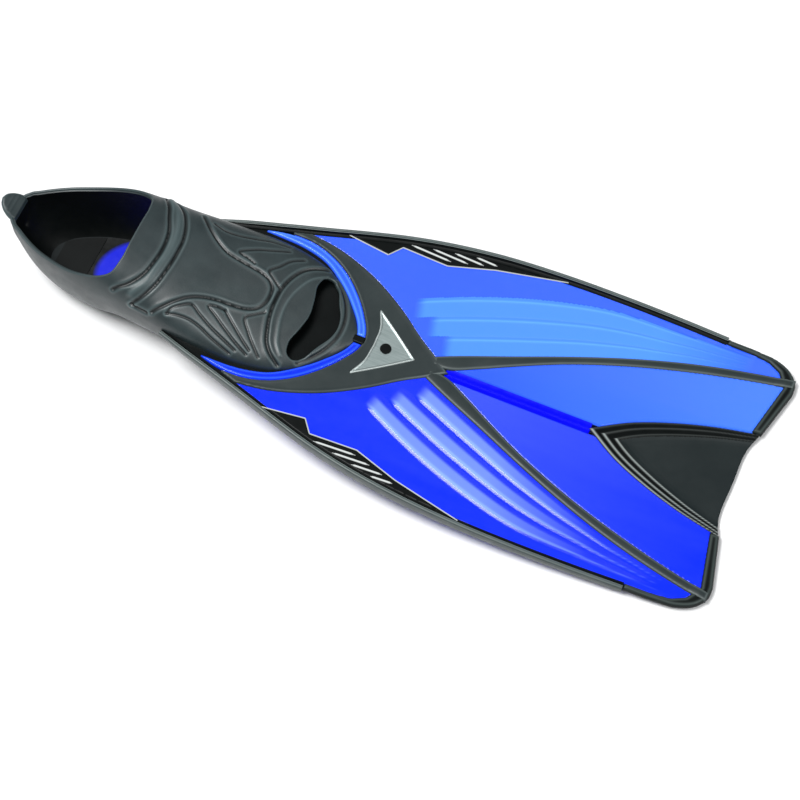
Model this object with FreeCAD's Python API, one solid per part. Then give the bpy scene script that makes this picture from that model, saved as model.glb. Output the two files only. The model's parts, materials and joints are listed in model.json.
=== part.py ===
"""One full-foot swim fin, in millimetres: foot pocket, blade, side rails, flex channels and centre flap.

The shapes are drawn in the blade frame: x runs forward from the apex of the yoke, y to the left and z up
from the blade's mid-plane.  place() then tips the fin so that the heel pad and the tip stand on z = 0, and
moves the origin to the middle of the footprint.
"""
import FreeCAD
import Part

import math
import os

from FreeCAD import Vector

# ---------------------------------------------------------------- driving dimensions, blade frame
PANEL_T = 2.6           # thickness of the blue blade panels
YOKE_T = 4.0            # thickness of the soft yoke
CHANNEL_T = 3.6         # thickness of the flex channels
BUMPER_T = 6.0          # thickness of the tip bumpers
RING_T = 3.6            # thickness of the toe ring
RAIL_W = 5.5            # width of a side rail
RAIL_GAP = 0.4          # running gap between a rail and the flat pieces beside it
SHELL_T = 3.0           # wall of the rubber foot pocket
SOLE_T = 7.0            # thickness of the outsole
FOOTBED_T = 2.5
BADGE_T = 1.4

FLEX_GAP = 0.5          # clearance of the rounded ends at the flex line
FLAT_KNUCKLE_R = 2.4    # rounded end of the flat pieces at the flex line
RAIL_KNUCKLE_R = 5.8    # rounded end of the rails at the flex line

HEEL_AXIS = (-342.8, -40.0)     # x, z of the line that the heel folds back about, on its outer face
HEEL_CUT_RIM = (-296.0, 14.0)   # x, z where the fold line meets the rim
HEEL_GAP = 0.4
TAB_AXIS = (-354.5, 3.2)        # x, z of the line that the pull tab bends about
TAB_KNUCKLE_R = 2.6
TAB_GAP = 0.5
TAB_WIDTH = 22.0
TAB_END_WIDTH = 14.0
TAB_REACH = 15.5
TAB_TILT = 32.0                 # degrees above the blade plane

HEEL_REST = (-325.0, -50.0)     # x, z of a point on the flat under the heel
TIP_REST = (239.8, -BUMPER_T / 2)
GROUND_SLOPE = (TIP_REST[1] - HEEL_REST[1]) / (TIP_REST[0] - HEEL_REST[0])
PITCH = math.degrees(math.atan(GROUND_SLOPE))
SOLE_SLOPE = 0.134              # rise of the sole towards the toe
SOLE_DROP = 1.5                 # how far the sole's plane would reach below the heel's flat

# Outer edge of the left rail, from behind the arch to where the bumper starts.
RAIL_OUTER = [(-210, 54.0), (-190, 60.5), (-160, 69.3), (-130, 78.1), (-100, 87.3), (-70, 95.7), (-40, 102.1),
              (0, 107.8), (50, 111.2), (100, 111.9), (150, 111.0), (181, 109.8)]
# Side view of a rail: half its height along x.
RAIL_HALF_HEIGHT = [(-210, 2.0), (-190, 3.4), (-150, 4.6), (-100, 5.0), (0, 5.4), (50, 4.8), (100, 4.3),
                    (181, 3.6)]
RAIL_WALL = 2.8         # width of the rail's tall outer wall; the rest is a low flange
RAIL_FLANGE_T = 3.6     # thickness of that flange

BUMPER_OUTER = [(181, 109.0), (205, 108.2), (221, 106.4), (233, 100.5), (239.5, 91.0), (239.8, 83.0),
                (230.0, 43.5)]
BUMPER_INNER = [(181, 104.0), (203, 103.4), (215, 101.8), (224.5, 97.0), (231.5, 86.5), (222.5, 43.5)]

# Left half of the yoke's outer edge and of the two edges of the blue toe ring.
YOKE_OUTER = [(-152, 70.0), (-137, 68.8), (-118, 66.0), (-93, 58.3), (-77, 51.3), (-49, 34.7), (-27, 18.5),
              (-13, 9.6)]
RING_OUTER = [(-173, 59.5), (-160, 62.3), (-148, 63.4), (-136, 62.6), (-118, 57.3), (-103, 48.8), (-88, 35.5),
              (-76, 20.8), (-68.0, 6.5), (-66.6, 0)]
RING_INNER = [(-173, 57.5), (-160, 57.6), (-138, 55.8), (-121, 51.0), (-104, 39.8), (-88, 24.8), (-76.5, 9.8),
              (-72.9, 0)]

# Both edges of the left flex channel.
CHANNEL_OUTER = [(-13, 9.6), (0, 15.6), (40, 32.5), (80, 49.5), (120, 65.0), (160, 78.0), (200, 88.0),
                 (234, 94.5)]
CHANNEL_INNER = [(-13, 2.0), (0, 3.0), (20, 12.0), (40, 22.5), (80, 42.0), (120, 57.5), (160, 70.0),
                 (200, 80.3), (234, 87.2)]

CREASE_HALF = 3.6        # half width of the living hinge on the centreline
FLAP_APEX = 113.0
FLAP_EDGE = [(113, 0), (140, 16.5), (165, 27.0), (195, 36.5), (229, 44.0)]
FLAP_TRAIL = [(229, 44.0), (225.0, 32.0), (224, 0)]
FLAP_SCOOP = [(128, 0), (150, 11.0), (175, 21.0), (200, 28.5), (222, 33.5)]

# Inner edge of the notched insert beside the left rail.
INSERT_EDGE = [(-114, 79.5), (-80, 75.3), (-72, 85.5), (-35, 84.0), (0, 95.0), (54, 106.5)]
INSERT_RIB_COUNT = 4
INSERT_RIB = (31.0, 1.5)         # length and width of one rib on the insert
INSERT_RIB_START = (-67.0, 91.0)
INSERT_RIB_STEP = (16.5, 3.1)
INSERT_RIB_SLOPE = -3.0          # degrees

BADGE_CORNER = (-66.0, 29.0)
BADGE_NOSE = (-25.5, 0.0)
BADGE_WAIST = (-59.0, 0.0)

# Stations of the foot pocket's outside: x, half width, bottom z, z of the widest point, top z, power below.
POCKET = [
    (-357.5, 6.0, -12.0, 2.0, 10.0, 1.6),
    (-353.0, 14.5, -24.0, 3.0, 17.0, 1.6),
    (-346.0, 18.8, -36.0, 4.0, 22.0, 1.6),
    (-337.0, 24.0, -46.0, 5.0, 26.0, 1.7),
    (-325.0, 30.0, -52.0, 5.0, 30.0, 1.9),
    (-310.0, 35.5, -55.0, 5.0, 34.0, 2.0),
    (-292.0, 40.8, -54.0, 5.0, 39.0, 2.1),
    (-272.0, 44.5, -52.0, 4.0, 42.0, 2.1),
    (-254.0, 46.5, -49.5, 3.0, 38.5, 2.1),
    (-230.0, 48.5, -46.0, 2.0, 30.5, 2.2),
    (-205.0, 51.0, -43.0, 1.0, 24.5, 2.3),
    (-180.0, 53.0, -39.0, 0.0, 19.0, 2.4),
    (-155.0, 54.0, -35.5, -1.0, 15.5, 2.5),
    (-135.0, 52.0, -32.0, -1.5, 13.0, 2.6),
    (-118.0, 47.5, -29.0, -2.0, 11.0, 2.6),
    (-104.0, 39.8, -26.0, -2.0, 9.0, 2.6),
    (-88.0, 25.0, -21.0, -1.5, 5.5, 2.6),
    (-77.0, 10.5, -14.0, -1.0, 2.8, 2.6),
    (-73.3, 3.0, -8.0, -0.5, 1.2, 2.6),
]
SECTION_POINTS = 24
TOP_POWER = 2.5          # superellipse power of the section above its widest point

# The rim of the foot opening, seen from the side: everything above it is open.
RIM = [(-380, 3.0), (-352, 5.5), (-344, 6.0), (-330, 7.0), (-313, 9.5), (-292, 15.0), (-280, 20.5),
       (-268, 26.0), (-258, 31.0), (-252, 36.0), (-251, 60.0)]
COLLAR_SEAM = -243.0     # seam between collar and vamp
TOE_SEAM = -143.0        # seam between vamp and toe cap
FOOTBED_X = (-296.0, -150.0)

# Left half of the toe window: rear middle, both ends and the middle of the corner's arc, front middle.
WINDOW = [(-111.0, 0), (-113.0, 28.0), (-109.5, 33.8), (-102.5, 31.5), (-87.0, 0)]
WINDOW_RIM_W = 2.2
WINDOW_Z = (-3.0, 40.0)  # the window is cut between these heights
BAND_X = (-238.0, -227.0)
BAND_T = 1.6
PAD_ROWS = 7
PAD_X = (-262.0, 23.0)   # first row and pitch of the sole's grip bars
PAD = (11.0, 38.0, 1.2)  # length, width and height of one bar

CREASE_T = 1.4           # thickness of the living hinge
CLIP_LENGTH = 12.0       # the clip on the nose of the toe ring
CLIP_WIDTH = 6.4
CLIP_REAR = -77.0
CLIP_PROUD = (1.0, 0.6)  # how far it stands out under and over the ring
WEB_X = (-205.0, -135.0) # reach of the rubber web beside the pocket
WEB_T = 6.0
FLAP_FLOOR = -0.8        # height of the flap's recessed middle
INSERT_T = 4.0           # thickness of the notched insert
INSERT_RIB_HEIGHT = 1.4
INLAY_R = 4.2            # round inlay in the badge
INLAY_X = -49.0
INLAY_PROUD = 0.3
HEEL_PAD_REAR = -326.0

BIG = 1000.0             # longer than anything on the fin
SLIVER = 1.0             # solids smaller than this are scraps of a cut, mm3


# ---------------------------------------------------------------- small geometry helpers
def curve(points):
    """A smooth edge through plan or side-view points given as (x, y)."""
    spline = Part.BSplineCurve()
    spline.interpolate([Vector(x, y, 0) for x, y in points])
    return spline.toShape()


def polyline(points):
    return [Part.LineSegment(Vector(*a, 0), Vector(*b, 0)).toShape() for a, b in zip(points, points[1:])]


def region(*edges):
    """A face in the xy plane bounded by edges that meet end to end."""
    return Part.Face(Part.Wire(Part.__sortEdges__(list(edges))))


def outline(points):
    return region(*polyline(list(points) + [points[0]]))


def flip(points):
    return [(x, -y) for x, y in points]


def prism(face, low, high):
    solid = face.copy()
    solid.translate(Vector(0, 0, low))
    return solid.extrude(Vector(0, 0, high - low))


def side_prism(points, width=BIG):
    """The outline of (x, z) points, swept across the fin in y."""
    ring = [Vector(x, -width, z) for x, z in points]
    return Part.Face(Part.makePolygon(ring + [ring[0]])).extrude(Vector(0, 2 * width, 0))


def mirrored(shape):
    return shape.mirror(Vector(0, 0, 0), Vector(0, 1, 0))


def cross_cylinder(x, z, radius, width=BIG):
    return Part.makeCylinder(radius, 2 * width, Vector(x, -width, z), Vector(0, 1, 0))


def whole(shape):
    """The shape's solids, without stray slivers, as one solid or a compound of solids."""
    solids = [s for s in shape.Solids if s.Volume > SLIVER]
    return solids[0] if len(solids) == 1 else Part.makeCompound(solids)


def side_of(shape, test):
    """The solids of shape whose centre of mass passes the test."""
    kept = [s for s in shape.Solids if test(s.CenterOfMass)]
    return kept[0] if len(kept) == 1 else Part.makeCompound(kept)


# ---------------------------------------------------------------- the flex line at x = 0
def split_at_flex(shape, radius):
    """Divides a piece at the flex line: the blade's end is rounded about it, the root's is hollow."""
    ahead = Part.makeBox(BIG, 2 * BIG, 2 * BIG, Vector(0, -BIG, -BIG))
    behind = Part.makeBox(BIG, 2 * BIG, 2 * BIG, Vector(-BIG, -BIG, -BIG))
    tip = shape.common(ahead.fuse(cross_cylinder(0, 0, radius)))
    root = shape.common(behind).cut(cross_cylinder(0, 0, radius + FLEX_GAP))
    return whole(root), whole(tip)


# ---------------------------------------------------------------- rails and the area between them
def rail_inner():
    return [(x, y - RAIL_W) for x, y in RAIL_OUTER]


def make_rail():
    outer = curve(RAIL_OUTER)
    inner = curve(rail_inner())
    start, end = RAIL_OUTER[0], RAIL_OUTER[-1]
    ends = polyline([start, (start[0], start[1] - RAIL_W)]) + polyline([end, (end[0], end[1] - RAIL_W)])
    plan = prism(region(outer, inner, *ends), -BIG / 10, BIG / 10)
    top = [(x, h) for x, h in RAIL_HALF_HEIGHT]
    bottom = [(x, -h) for x, h in reversed(RAIL_HALF_HEIGHT)]
    tall = plan.common(side_prism(top + bottom))
    inboard = plan.copy()
    inboard.translate(Vector(0, -RAIL_WALL, 0))
    above = Part.makeBox(BIG, BIG, BIG, Vector(-BIG / 2, -BIG / 2, RAIL_FLANGE_T / 2))
    below = Part.makeBox(BIG, BIG, BIG, Vector(-BIG / 2, -BIG / 2, -BIG - RAIL_FLANGE_T / 2))
    return tall.cut(inboard.common(above)).cut(inboard.common(below))


def between_rails():
    """The plan area inside both rails and the bumpers, with the running gap taken off."""
    inner = [(x, y - RAIL_GAP) for x, y in rail_inner()]
    left = curve(inner)
    right = curve(flip(inner))
    rear = polyline([inner[0], (inner[0][0], -inner[0][1])])
    front_join = [inner[-1], BUMPER_INNER[0]]
    bumper = polyline(front_join + BUMPER_INNER[1:] + flip(BUMPER_INNER[1:])[::-1] + flip(front_join)[::-1])
    return region(left, right, *rear, *bumper)


# ---------------------------------------------------------------- plan areas of the blade
def yoke_area():
    """Wishbone round the toes.  Its nose is blunt at the flex line and takes in the roots of the channels."""
    left, right = YOKE_OUTER, flip(YOKE_OUTER)
    nose_left = [left[-1], (0, CHANNEL_OUTER[1][1])]
    nose = polyline(nose_left + flip(nose_left)[::-1])
    inner = curve(RING_OUTER + flip(RING_OUTER)[::-1][1:])
    ends = polyline([left[0], RING_OUTER[0]]) + polyline([right[0], flip(RING_OUTER)[0]])
    return region(curve(left), curve(right), inner, *nose, *ends)


def ring_area():
    outer = curve(RING_OUTER + flip(RING_OUTER)[::-1][1:])
    inner = curve(RING_INNER + flip(RING_INNER)[::-1][1:])
    ends = polyline([RING_OUTER[0], RING_INNER[0]]) + polyline([flip(RING_OUTER)[0], flip(RING_INNER)[0]])
    return region(outer, inner, *ends)


def channel_area():
    outer, inner = CHANNEL_OUTER, CHANNEL_INNER
    ends = polyline([outer[0], inner[0]]) + polyline([outer[-1], inner[-1]])
    return region(curve(outer), curve(inner), *ends)


def flap_area(edge, trail):
    return region(curve(edge), curve(flip(edge)), curve(trail), curve(flip(trail)))


def insert_area():
    far = [(INSERT_EDGE[-1][0], 200.0), (INSERT_EDGE[0][0], 200.0)]
    return outline(INSERT_EDGE + far)


# ---------------------------------------------------------------- the foot pocket
def section(x, half, low, middle, high, power_below):
    """One closed cross-section of the pocket: a superellipse, flatter above, with its seam underneath."""
    ring = []
    for i in range(SECTION_POINTS):
        a = -math.pi / 2 + 2 * math.pi * i / SECTION_POINTS
        power, reach = (TOP_POWER, high - middle) if math.sin(a) >= 0 else (power_below, middle - low)
        across = math.copysign(half * abs(math.cos(a)) ** (2 / power), math.cos(a))
        rise = math.copysign(reach * abs(math.sin(a)) ** (2 / power), math.sin(a))
        ring.append(Vector(x, across, middle + rise))
    spline = Part.BSplineCurve()
    spline.interpolate(Points=ring, PeriodicFlag=True)
    return Part.Wire(spline.toShape())


def pocket_outside():
    return Part.makeLoft([section(*s) for s in POCKET], True, False)


def pocket_inside():
    """The room for the foot: the same stations drawn in by the wall, with the sole left under it."""
    x_rear, x_front = POCKET[0][0] + SHELL_T, POCKET[-1][0] - SHELL_T
    scale = (x_front - x_rear) / (POCKET[-1][0] - POCKET[0][0])
    wires = []
    for x, half, low, middle, high, power in POCKET:
        moved = x_rear + (x - POCKET[0][0]) * scale
        width = max(half - SHELL_T, 2.0)
        top = max(high - SHELL_T, middle + 1.0)
        floor = min(low + SHELL_T, middle - 2.0)
        wires.append(section(moved, width, floor, middle, top, power))
    return Part.makeLoft(wires, True, False)


def sole_plane(x, height=0.0):
    """Height of the sole's underside at x, plus the height asked for."""
    return HEEL_REST[1] - SOLE_DROP + SOLE_SLOPE * (x - HEEL_REST[0]) + height


def below_sole(height):
    """Everything lower than a plane that lies above the sole's underside by the height asked for."""
    rear, front = -BIG / 2, 0
    return side_prism([(rear, sole_plane(rear, height)), (front, sole_plane(front, height)), (front, -BIG),
                       (rear, -BIG)])


def below_ground():
    """Everything under the surface that the fin stands on, and under the sole's underside."""
    x0, z0 = HEEL_REST
    rear, front = -BIG / 2, BIG / 2
    ground = side_prism([(rear, z0 + GROUND_SLOPE * (rear - x0)), (front, z0 + GROUND_SLOPE * (front - x0)),
                         (front, -BIG), (rear, -BIG)])
    return ground.fuse(below_sole(0.0))


def above_rim():
    return side_prism(RIM + [(RIM[-1][0], BIG), (RIM[0][0], BIG)])


def heel_zone(gap):
    """Everything above the fold line that runs from the heel's bottom edge to the rim."""
    (xa, za), (xr, zr) = HEEL_AXIS, HEEL_CUT_RIM
    run, rise = xr - xa, zr - za
    shift = gap / math.hypot(run, rise)
    dx, dz = -rise * shift, run * shift
    far = (xr + run + dx, zr + rise + dz)
    return side_prism([(xa + dx, za + dz), far, (far[0], BIG), (-BIG, BIG), (-BIG, za + dz)])


def cut_across(shape, x):
    """Divides a shape at the plane x, into its rear and its front."""
    front = Part.makeBox(BIG, 2 * BIG, 2 * BIG, Vector(x, -BIG, -BIG))
    return whole(shape.cut(front)), whole(shape.common(front))


def make_tab():
    """The pull tab on the heel: a tongue that tilts up and back from a rounded root."""
    x0, z0 = TAB_AXIS
    half, end = TAB_WIDTH / 2, TAB_END_WIDTH / 2
    thick = 2 * TAB_KNUCKLE_R - 0.4
    corner = 6.0
    mid = (TAB_REACH - corner, half - (half - end) * 0.6)
    left = [(0, half), mid]
    nose = Part.Arc(Vector(*mid, 0), Vector(TAB_REACH, 0, 0), Vector(mid[0], -mid[1], 0)).toShape()
    sides = polyline(left) + polyline(flip(left)) + polyline([(0, half), (0, -half)])
    tongue = prism(region(nose, *sides), -thick / 2, thick / 2)
    root = Part.makeCylinder(TAB_KNUCKLE_R, TAB_WIDTH, Vector(0, -half, 0), Vector(0, 1, 0))
    tab = tongue.fuse(root)
    tab.rotate(Vector(0, 0, 0), Vector(0, 0, 1), 180)
    tab.rotate(Vector(0, 0, 0), Vector(0, 1, 0), TAB_TILT)
    tab.translate(Vector(x0, 0, z0))
    return whole(tab)


def tab_sweep():
    """The room that the tab's tongue needs behind the heel as it bends."""
    x0, z0 = TAB_AXIS
    low_corner = Vector(x0 - 4 * TAB_REACH, -TAB_WIDTH / 2 - TAB_GAP, z0 - TAB_KNUCKLE_R - TAB_GAP)
    return Part.makeBox(4 * TAB_REACH, TAB_WIDTH + 2 * TAB_GAP, 3 * TAB_REACH, low_corner)


def arc(start, middle, end):
    return Part.Arc(Vector(*start, 0), Vector(*middle, 0), Vector(*end, 0)).toShape()


def window_area(grow):
    """Plan of the toe window, drawn larger all round by grow."""
    middle = (WINDOW[0][0] + WINDOW[-1][0]) / 2
    along = 1 + 2 * grow / (WINDOW[-1][0] - WINDOW[0][0])
    across = 1 + grow / max(y for _, y in WINDOW)
    left = [(middle + (x - middle) * along, y * across) for x, y in WINDOW]
    right = flip(left)
    rear, front = arc(right[1], left[0], left[1]), arc(left[3], left[4], right[3])
    return region(rear, arc(*left[1:4]), front, arc(*right[1:4]))


def make_grip_bars():
    """Raised bars across the sole, from the arch forward."""
    bars = []
    for i in range(PAD_ROWS):
        x = PAD_X[0] + i * PAD_X[1]
        width = PAD[1] if i < PAD_ROWS - 1 else 0.7 * PAD[1]
        bar = Part.makeBox(PAD[0], width, PAD[2], Vector(-PAD[0] / 2, -width / 2, -PAD[2]))
        bar.rotate(Vector(0, 0, 0), Vector(0, 1, 0), -math.degrees(math.atan(SOLE_SLOPE)))
        bar.translate(Vector(x, 0, sole_plane(x)))
        bars.append(bar)
    return bars


# ---------------------------------------------------------------- all the pieces, still in the blade frame
def build():
    parts = {}
    inside_rails = between_rails()
    field = prism(inside_rails, -BIG / 10, BIG / 10)
    outside = pocket_outside()
    room = pocket_inside()

    rail_root, rail = split_at_flex(make_rail(), RAIL_KNUCKLE_R)
    rail_root = whole(rail_root.cut(outside))
    parts["rail_root_left"], parts["rail_left"] = rail_root, rail

    yoke_plan = prism(yoke_area(), -BIG / 10, BIG / 10)
    ring_plan = prism(ring_area(), -BIG / 10, BIG / 10)
    channel_plan = prism(channel_area(), -BIG / 10, BIG / 10)
    channels_plan = channel_plan.fuse(mirrored(channel_plan))
    flap_plan = prism(flap_area(FLAP_EDGE, FLAP_TRAIL), -BIG / 10, BIG / 10)
    insert_plan = prism(insert_area(), -BIG / 10, BIG / 10)
    inserts_plan = insert_plan.fuse(mirrored(insert_plan))
    crease_left = [(-1.0, CREASE_HALF), (FLAP_APEX + 20.0, CREASE_HALF)]
    crease_plan = prism(outline(crease_left + flip(crease_left)[::-1]), -BIG / 10, BIG / 10)

    # Yoke, toe ring and clip
    yoke = prism(inside_rails, -YOKE_T / 2, YOKE_T / 2).common(yoke_plan).cut(outside)
    parts["yoke"] = split_at_flex(yoke, FLAT_KNUCKLE_R)[0]
    ring = prism(inside_rails, -RING_T / 2, RING_T / 2).common(ring_plan).cut(outside)
    clip_box = Part.makeBox(CLIP_LENGTH, CLIP_WIDTH, BIG, Vector(CLIP_REAR, -CLIP_WIDTH / 2, -BIG / 2))
    halves = ring.cut(clip_box)
    parts["toe_ring_left"] = side_of(halves, lambda c: c.y > 0)
    parts["toe_ring_right"] = side_of(halves, lambda c: c.y < 0)
    clip_sheet = prism(inside_rails, -RING_T / 2 - CLIP_PROUD[0], RING_T / 2 + CLIP_PROUD[1])
    parts["nose_clip"] = whole(clip_sheet.common(ring_plan).common(clip_box).cut(outside))

    # Rubber web between the pocket and the rear of each rail
    web = prism(inside_rails, -WEB_T / 2, WEB_T / 2).cut(ring_plan).cut(yoke_plan).cut(outside)
    web = web.common(Part.makeBox(WEB_X[1] - WEB_X[0], BIG, BIG, Vector(WEB_X[0], 0, -BIG / 2)))
    parts["side_web_left"] = side_of(web, lambda c: c.x < RING_OUTER[2][0])

    # Blade panels: what is left of the sheet once the soft pieces are taken out
    sheet = prism(inside_rails, -PANEL_T / 2, PANEL_T / 2)
    for taken in (yoke_plan, channels_plan, flap_plan, inserts_plan, ring_plan, outside):
        sheet = sheet.cut(taken)
    outer = side_of(sheet, lambda c: c.y > 25 and c.x > -60 and c.y > 0.36 * c.x + 25)
    outer_root, outer_tip = split_at_flex(outer, FLAT_KNUCKLE_R)
    parts["outer_panel_root_left"], parts["outer_panel_left"] = outer_root, outer_tip
    centre = sheet.common(Part.makeBox(BIG, 2 * BIG, BIG, Vector(0.0, -BIG, -BIG / 2)))
    centre = side_of(centre.cut(crease_plan), lambda c: 0 < c.y < 0.36 * c.x + 18)
    parts["centre_panel_left"] = centre
    crease = prism(inside_rails, -CREASE_T / 2, CREASE_T / 2).common(crease_plan)
    crease = crease.cut(flap_plan).cut(channels_plan)
    parts["centre_hinge_web"] = split_at_flex(crease, FLAT_KNUCKLE_R)[1]

    # Flex channels and tip bumpers
    channel = prism(inside_rails, -CHANNEL_T / 2, CHANNEL_T / 2).common(channel_plan)
    channel = channel.common(Part.makeBox(BIG, BIG, BIG, Vector(0, 0, -BIG / 2)))
    parts["flex_channel_left"] = split_at_flex(channel, FLAT_KNUCKLE_R)[1]
    bumper_edges = polyline(BUMPER_OUTER) + polyline(BUMPER_INNER)
    for end in (0, -1):
        bumper_edges += polyline([BUMPER_OUTER[end], BUMPER_INNER[end]])
    bumper = prism(region(*bumper_edges), -BUMPER_T / 2, BUMPER_T / 2)
    parts["tip_bumper_left"] = whole(bumper.cut(flap_plan).cut(prism(inside_rails, -50, 50)))

    # Notched insert with its ribs
    insert = prism(inside_rails, -INSERT_T / 2, INSERT_T / 2).common(insert_plan)
    insert_root, insert_tip = split_at_flex(insert, FLAT_KNUCKLE_R)
    parts["notch_insert_left"], parts["insert_tail_left"] = insert_root, insert_tip
    ribs = []
    for i in range(INSERT_RIB_COUNT):
        rib = Part.makeBox(*INSERT_RIB, INSERT_RIB_HEIGHT, Vector(0, -INSERT_RIB[1] / 2, 0))
        rib.rotate(Vector(0, 0, 0), Vector(0, 0, 1), INSERT_RIB_SLOPE)
        start = [a + i * b for a, b in zip(INSERT_RIB_START, INSERT_RIB_STEP)]
        rib.translate(Vector(*start, INSERT_T / 2))
        ribs.append(rib.common(field).common(Part.makeBox(BIG, BIG, BIG, Vector(-BIG - 3, 0, -BIG / 2))))
    parts["insert_ribs_left"] = Part.makeCompound([r.Solids[0] for r in ribs])

    # Centre flap: a scooped rubber panel
    flap = prism(flap_area(FLAP_EDGE, FLAP_TRAIL), -BUMPER_T / 2, PANEL_T / 2)
    past_trail = [(TIP_REST[0], FLAP_SCOOP[-1][1])]
    scoop_end = polyline([FLAP_SCOOP[-1]] + past_trail + flip(past_trail) + [flip(FLAP_SCOOP)[-1]])
    scoop = region(curve(FLAP_SCOOP), curve(flip(FLAP_SCOOP)), *scoop_end)
    parts["centre_flap"] = whole(flap.cut(prism(scoop, FLAP_FLOOR, BIG)))

    # Badge and its inlay
    (cx, cy), (nx, _), (wx, _) = BADGE_CORNER, BADGE_NOSE, BADGE_WAIST
    back = Part.Arc(Vector(cx, cy, 0), Vector(wx, 0, 0), Vector(cx, -cy, 0)).toShape()
    badge = prism(region(back, *polyline([(cx, cy), (nx, 0), (cx, -cy)])), YOKE_T / 2, YOKE_T / 2 + BADGE_T)
    inlay_seat = Vector(INLAY_X, 0, YOKE_T / 2 + BADGE_T / 2)
    parts["badge_plate"] = whole(badge.cut(Part.makeCylinder(INLAY_R, BIG, inlay_seat)))
    parts["badge_inlay"] = Part.makeCylinder(INLAY_R, BADGE_T / 2 + INLAY_PROUD, inlay_seat)

    # Foot pocket: rubber shell split at the sole, the heel fold and the pull tab
    window = prism(window_area(0.0), *WINDOW_Z)
    window_frame = prism(window_area(WINDOW_RIM_W), *WINDOW_Z)
    sole = below_sole(SOLE_T)
    room = room.cut(sole)
    shell = outside.cut(room).cut(sole)
    parts["window_rim"] = whole(shell.common(window_frame).cut(window))
    upper = shell.cut(window_frame).cut(above_rim())
    heel = upper.common(heel_zone(HEEL_GAP))
    vamp = upper.cut(heel_zone(0.0))
    tab = make_tab()
    tab_socket = cross_cylinder(*TAB_AXIS, TAB_KNUCKLE_R + TAB_GAP, TAB_WIDTH / 2 + 0.4)
    collar, vamp = cut_across(vamp, COLLAR_SEAM)
    vamp, toe_cap = cut_across(vamp, TOE_SEAM)
    parts["collar"], parts["vamp"], parts["toe_cap"] = collar, vamp, toe_cap
    parts["heel_cup"] = whole(heel.cut(tab_socket).cut(tab_sweep()))
    parts["pull_tab"] = tab

    parts["outsole"] = whole(outside.common(sole).cut(below_ground()))
    parts["grip_bars"] = Part.makeCompound(make_grip_bars())

    # Inside the pocket: stiff footbed ahead of a soft heel pad, both lying on the sole
    floor = room.common(below_sole(SOLE_T + FOOTBED_T))
    front = Part.makeBox(FOOTBED_X[1] - FOOTBED_X[0], BIG, BIG, Vector(FOOTBED_X[0], -BIG / 2, -BIG / 2))
    parts["footbed"] = whole(floor.common(front))
    pad_length = FOOTBED_X[0] - HEEL_GAP - HEEL_PAD_REAR
    behind = Part.makeBox(pad_length, BIG, BIG, Vector(HEEL_PAD_REAR, -BIG / 2, -BIG / 2))
    parts["heel_pad"] = whole(floor.common(behind))

    # Raised band across the instep
    grown = outside.copy()
    grown.translate(Vector(0, 0, BAND_T))
    slice_box = Part.makeBox(BAND_X[1] - BAND_X[0], BIG, BIG, Vector(BAND_X[0], -BIG / 2, 6.0))
    parts["instep_band"] = whole(grown.common(slice_box).cut(outside))

    for name in [n for n in parts if n.endswith("_left") and n != "toe_ring_left"]:
        parts[name.replace("_left", "_right")] = mirrored(parts[name])
    return parts


# ---------------------------------------------------------------- into the row frame
def place(parts):
    """Tips the fin onto its heel pad and tip, and puts the origin under the middle of its bounding box."""
    for shape in parts.values():
        shape.rotate(Vector(0, 0, 0), Vector(0, 1, 0), PITCH)
    box = FreeCAD.BoundBox()
    for shape in parts.values():
        box.add(shape.optimalBoundingBox(False, False))
    shift = Vector(-(box.XMin + box.XMax) / 2, -(box.YMin + box.YMax) / 2, -box.ZMin)
    for shape in parts.values():
        shape.translate(shift)
    return shift


def main():
    parts = build()
    shift = place(parts)
    os.makedirs("parts", exist_ok=True)
    for name, shape in sorted(parts.items()):
        shape.exportStep(os.path.join("parts", name + ".step"))
        print(name, len(shape.Solids), round(shape.Volume), shape.isValid())
    print("pitch", round(PITCH, 4), "shift", shift)


main()
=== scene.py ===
"""Visual model of one full-foot swim fin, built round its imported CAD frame.

Shapes are drawn in the blade frame, in millimetres: x forward from the yoke's apex, y to the left,
z up from the blade's mid-plane.  to_row() turns them into the row frame, with the pitch and the
origin read from the CAD's joints.
"""
import json
import math

import bpy
import numpy as np
from mathutils import Matrix, Vector


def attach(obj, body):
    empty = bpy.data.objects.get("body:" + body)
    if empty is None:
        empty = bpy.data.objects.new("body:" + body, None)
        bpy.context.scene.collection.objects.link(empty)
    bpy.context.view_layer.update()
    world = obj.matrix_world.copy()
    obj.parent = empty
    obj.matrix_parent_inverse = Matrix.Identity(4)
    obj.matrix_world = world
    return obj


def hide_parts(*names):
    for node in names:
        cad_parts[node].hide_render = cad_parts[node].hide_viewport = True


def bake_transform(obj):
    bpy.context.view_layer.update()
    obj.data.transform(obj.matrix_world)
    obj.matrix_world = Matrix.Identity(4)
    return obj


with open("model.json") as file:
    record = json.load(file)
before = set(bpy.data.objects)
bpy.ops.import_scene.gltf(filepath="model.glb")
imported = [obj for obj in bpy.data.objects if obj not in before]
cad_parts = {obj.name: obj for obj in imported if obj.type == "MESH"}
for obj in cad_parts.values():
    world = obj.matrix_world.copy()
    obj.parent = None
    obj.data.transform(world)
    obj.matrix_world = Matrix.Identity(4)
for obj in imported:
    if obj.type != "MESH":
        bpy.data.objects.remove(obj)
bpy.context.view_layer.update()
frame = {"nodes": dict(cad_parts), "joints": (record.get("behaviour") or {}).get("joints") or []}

MM = 0.001

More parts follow.
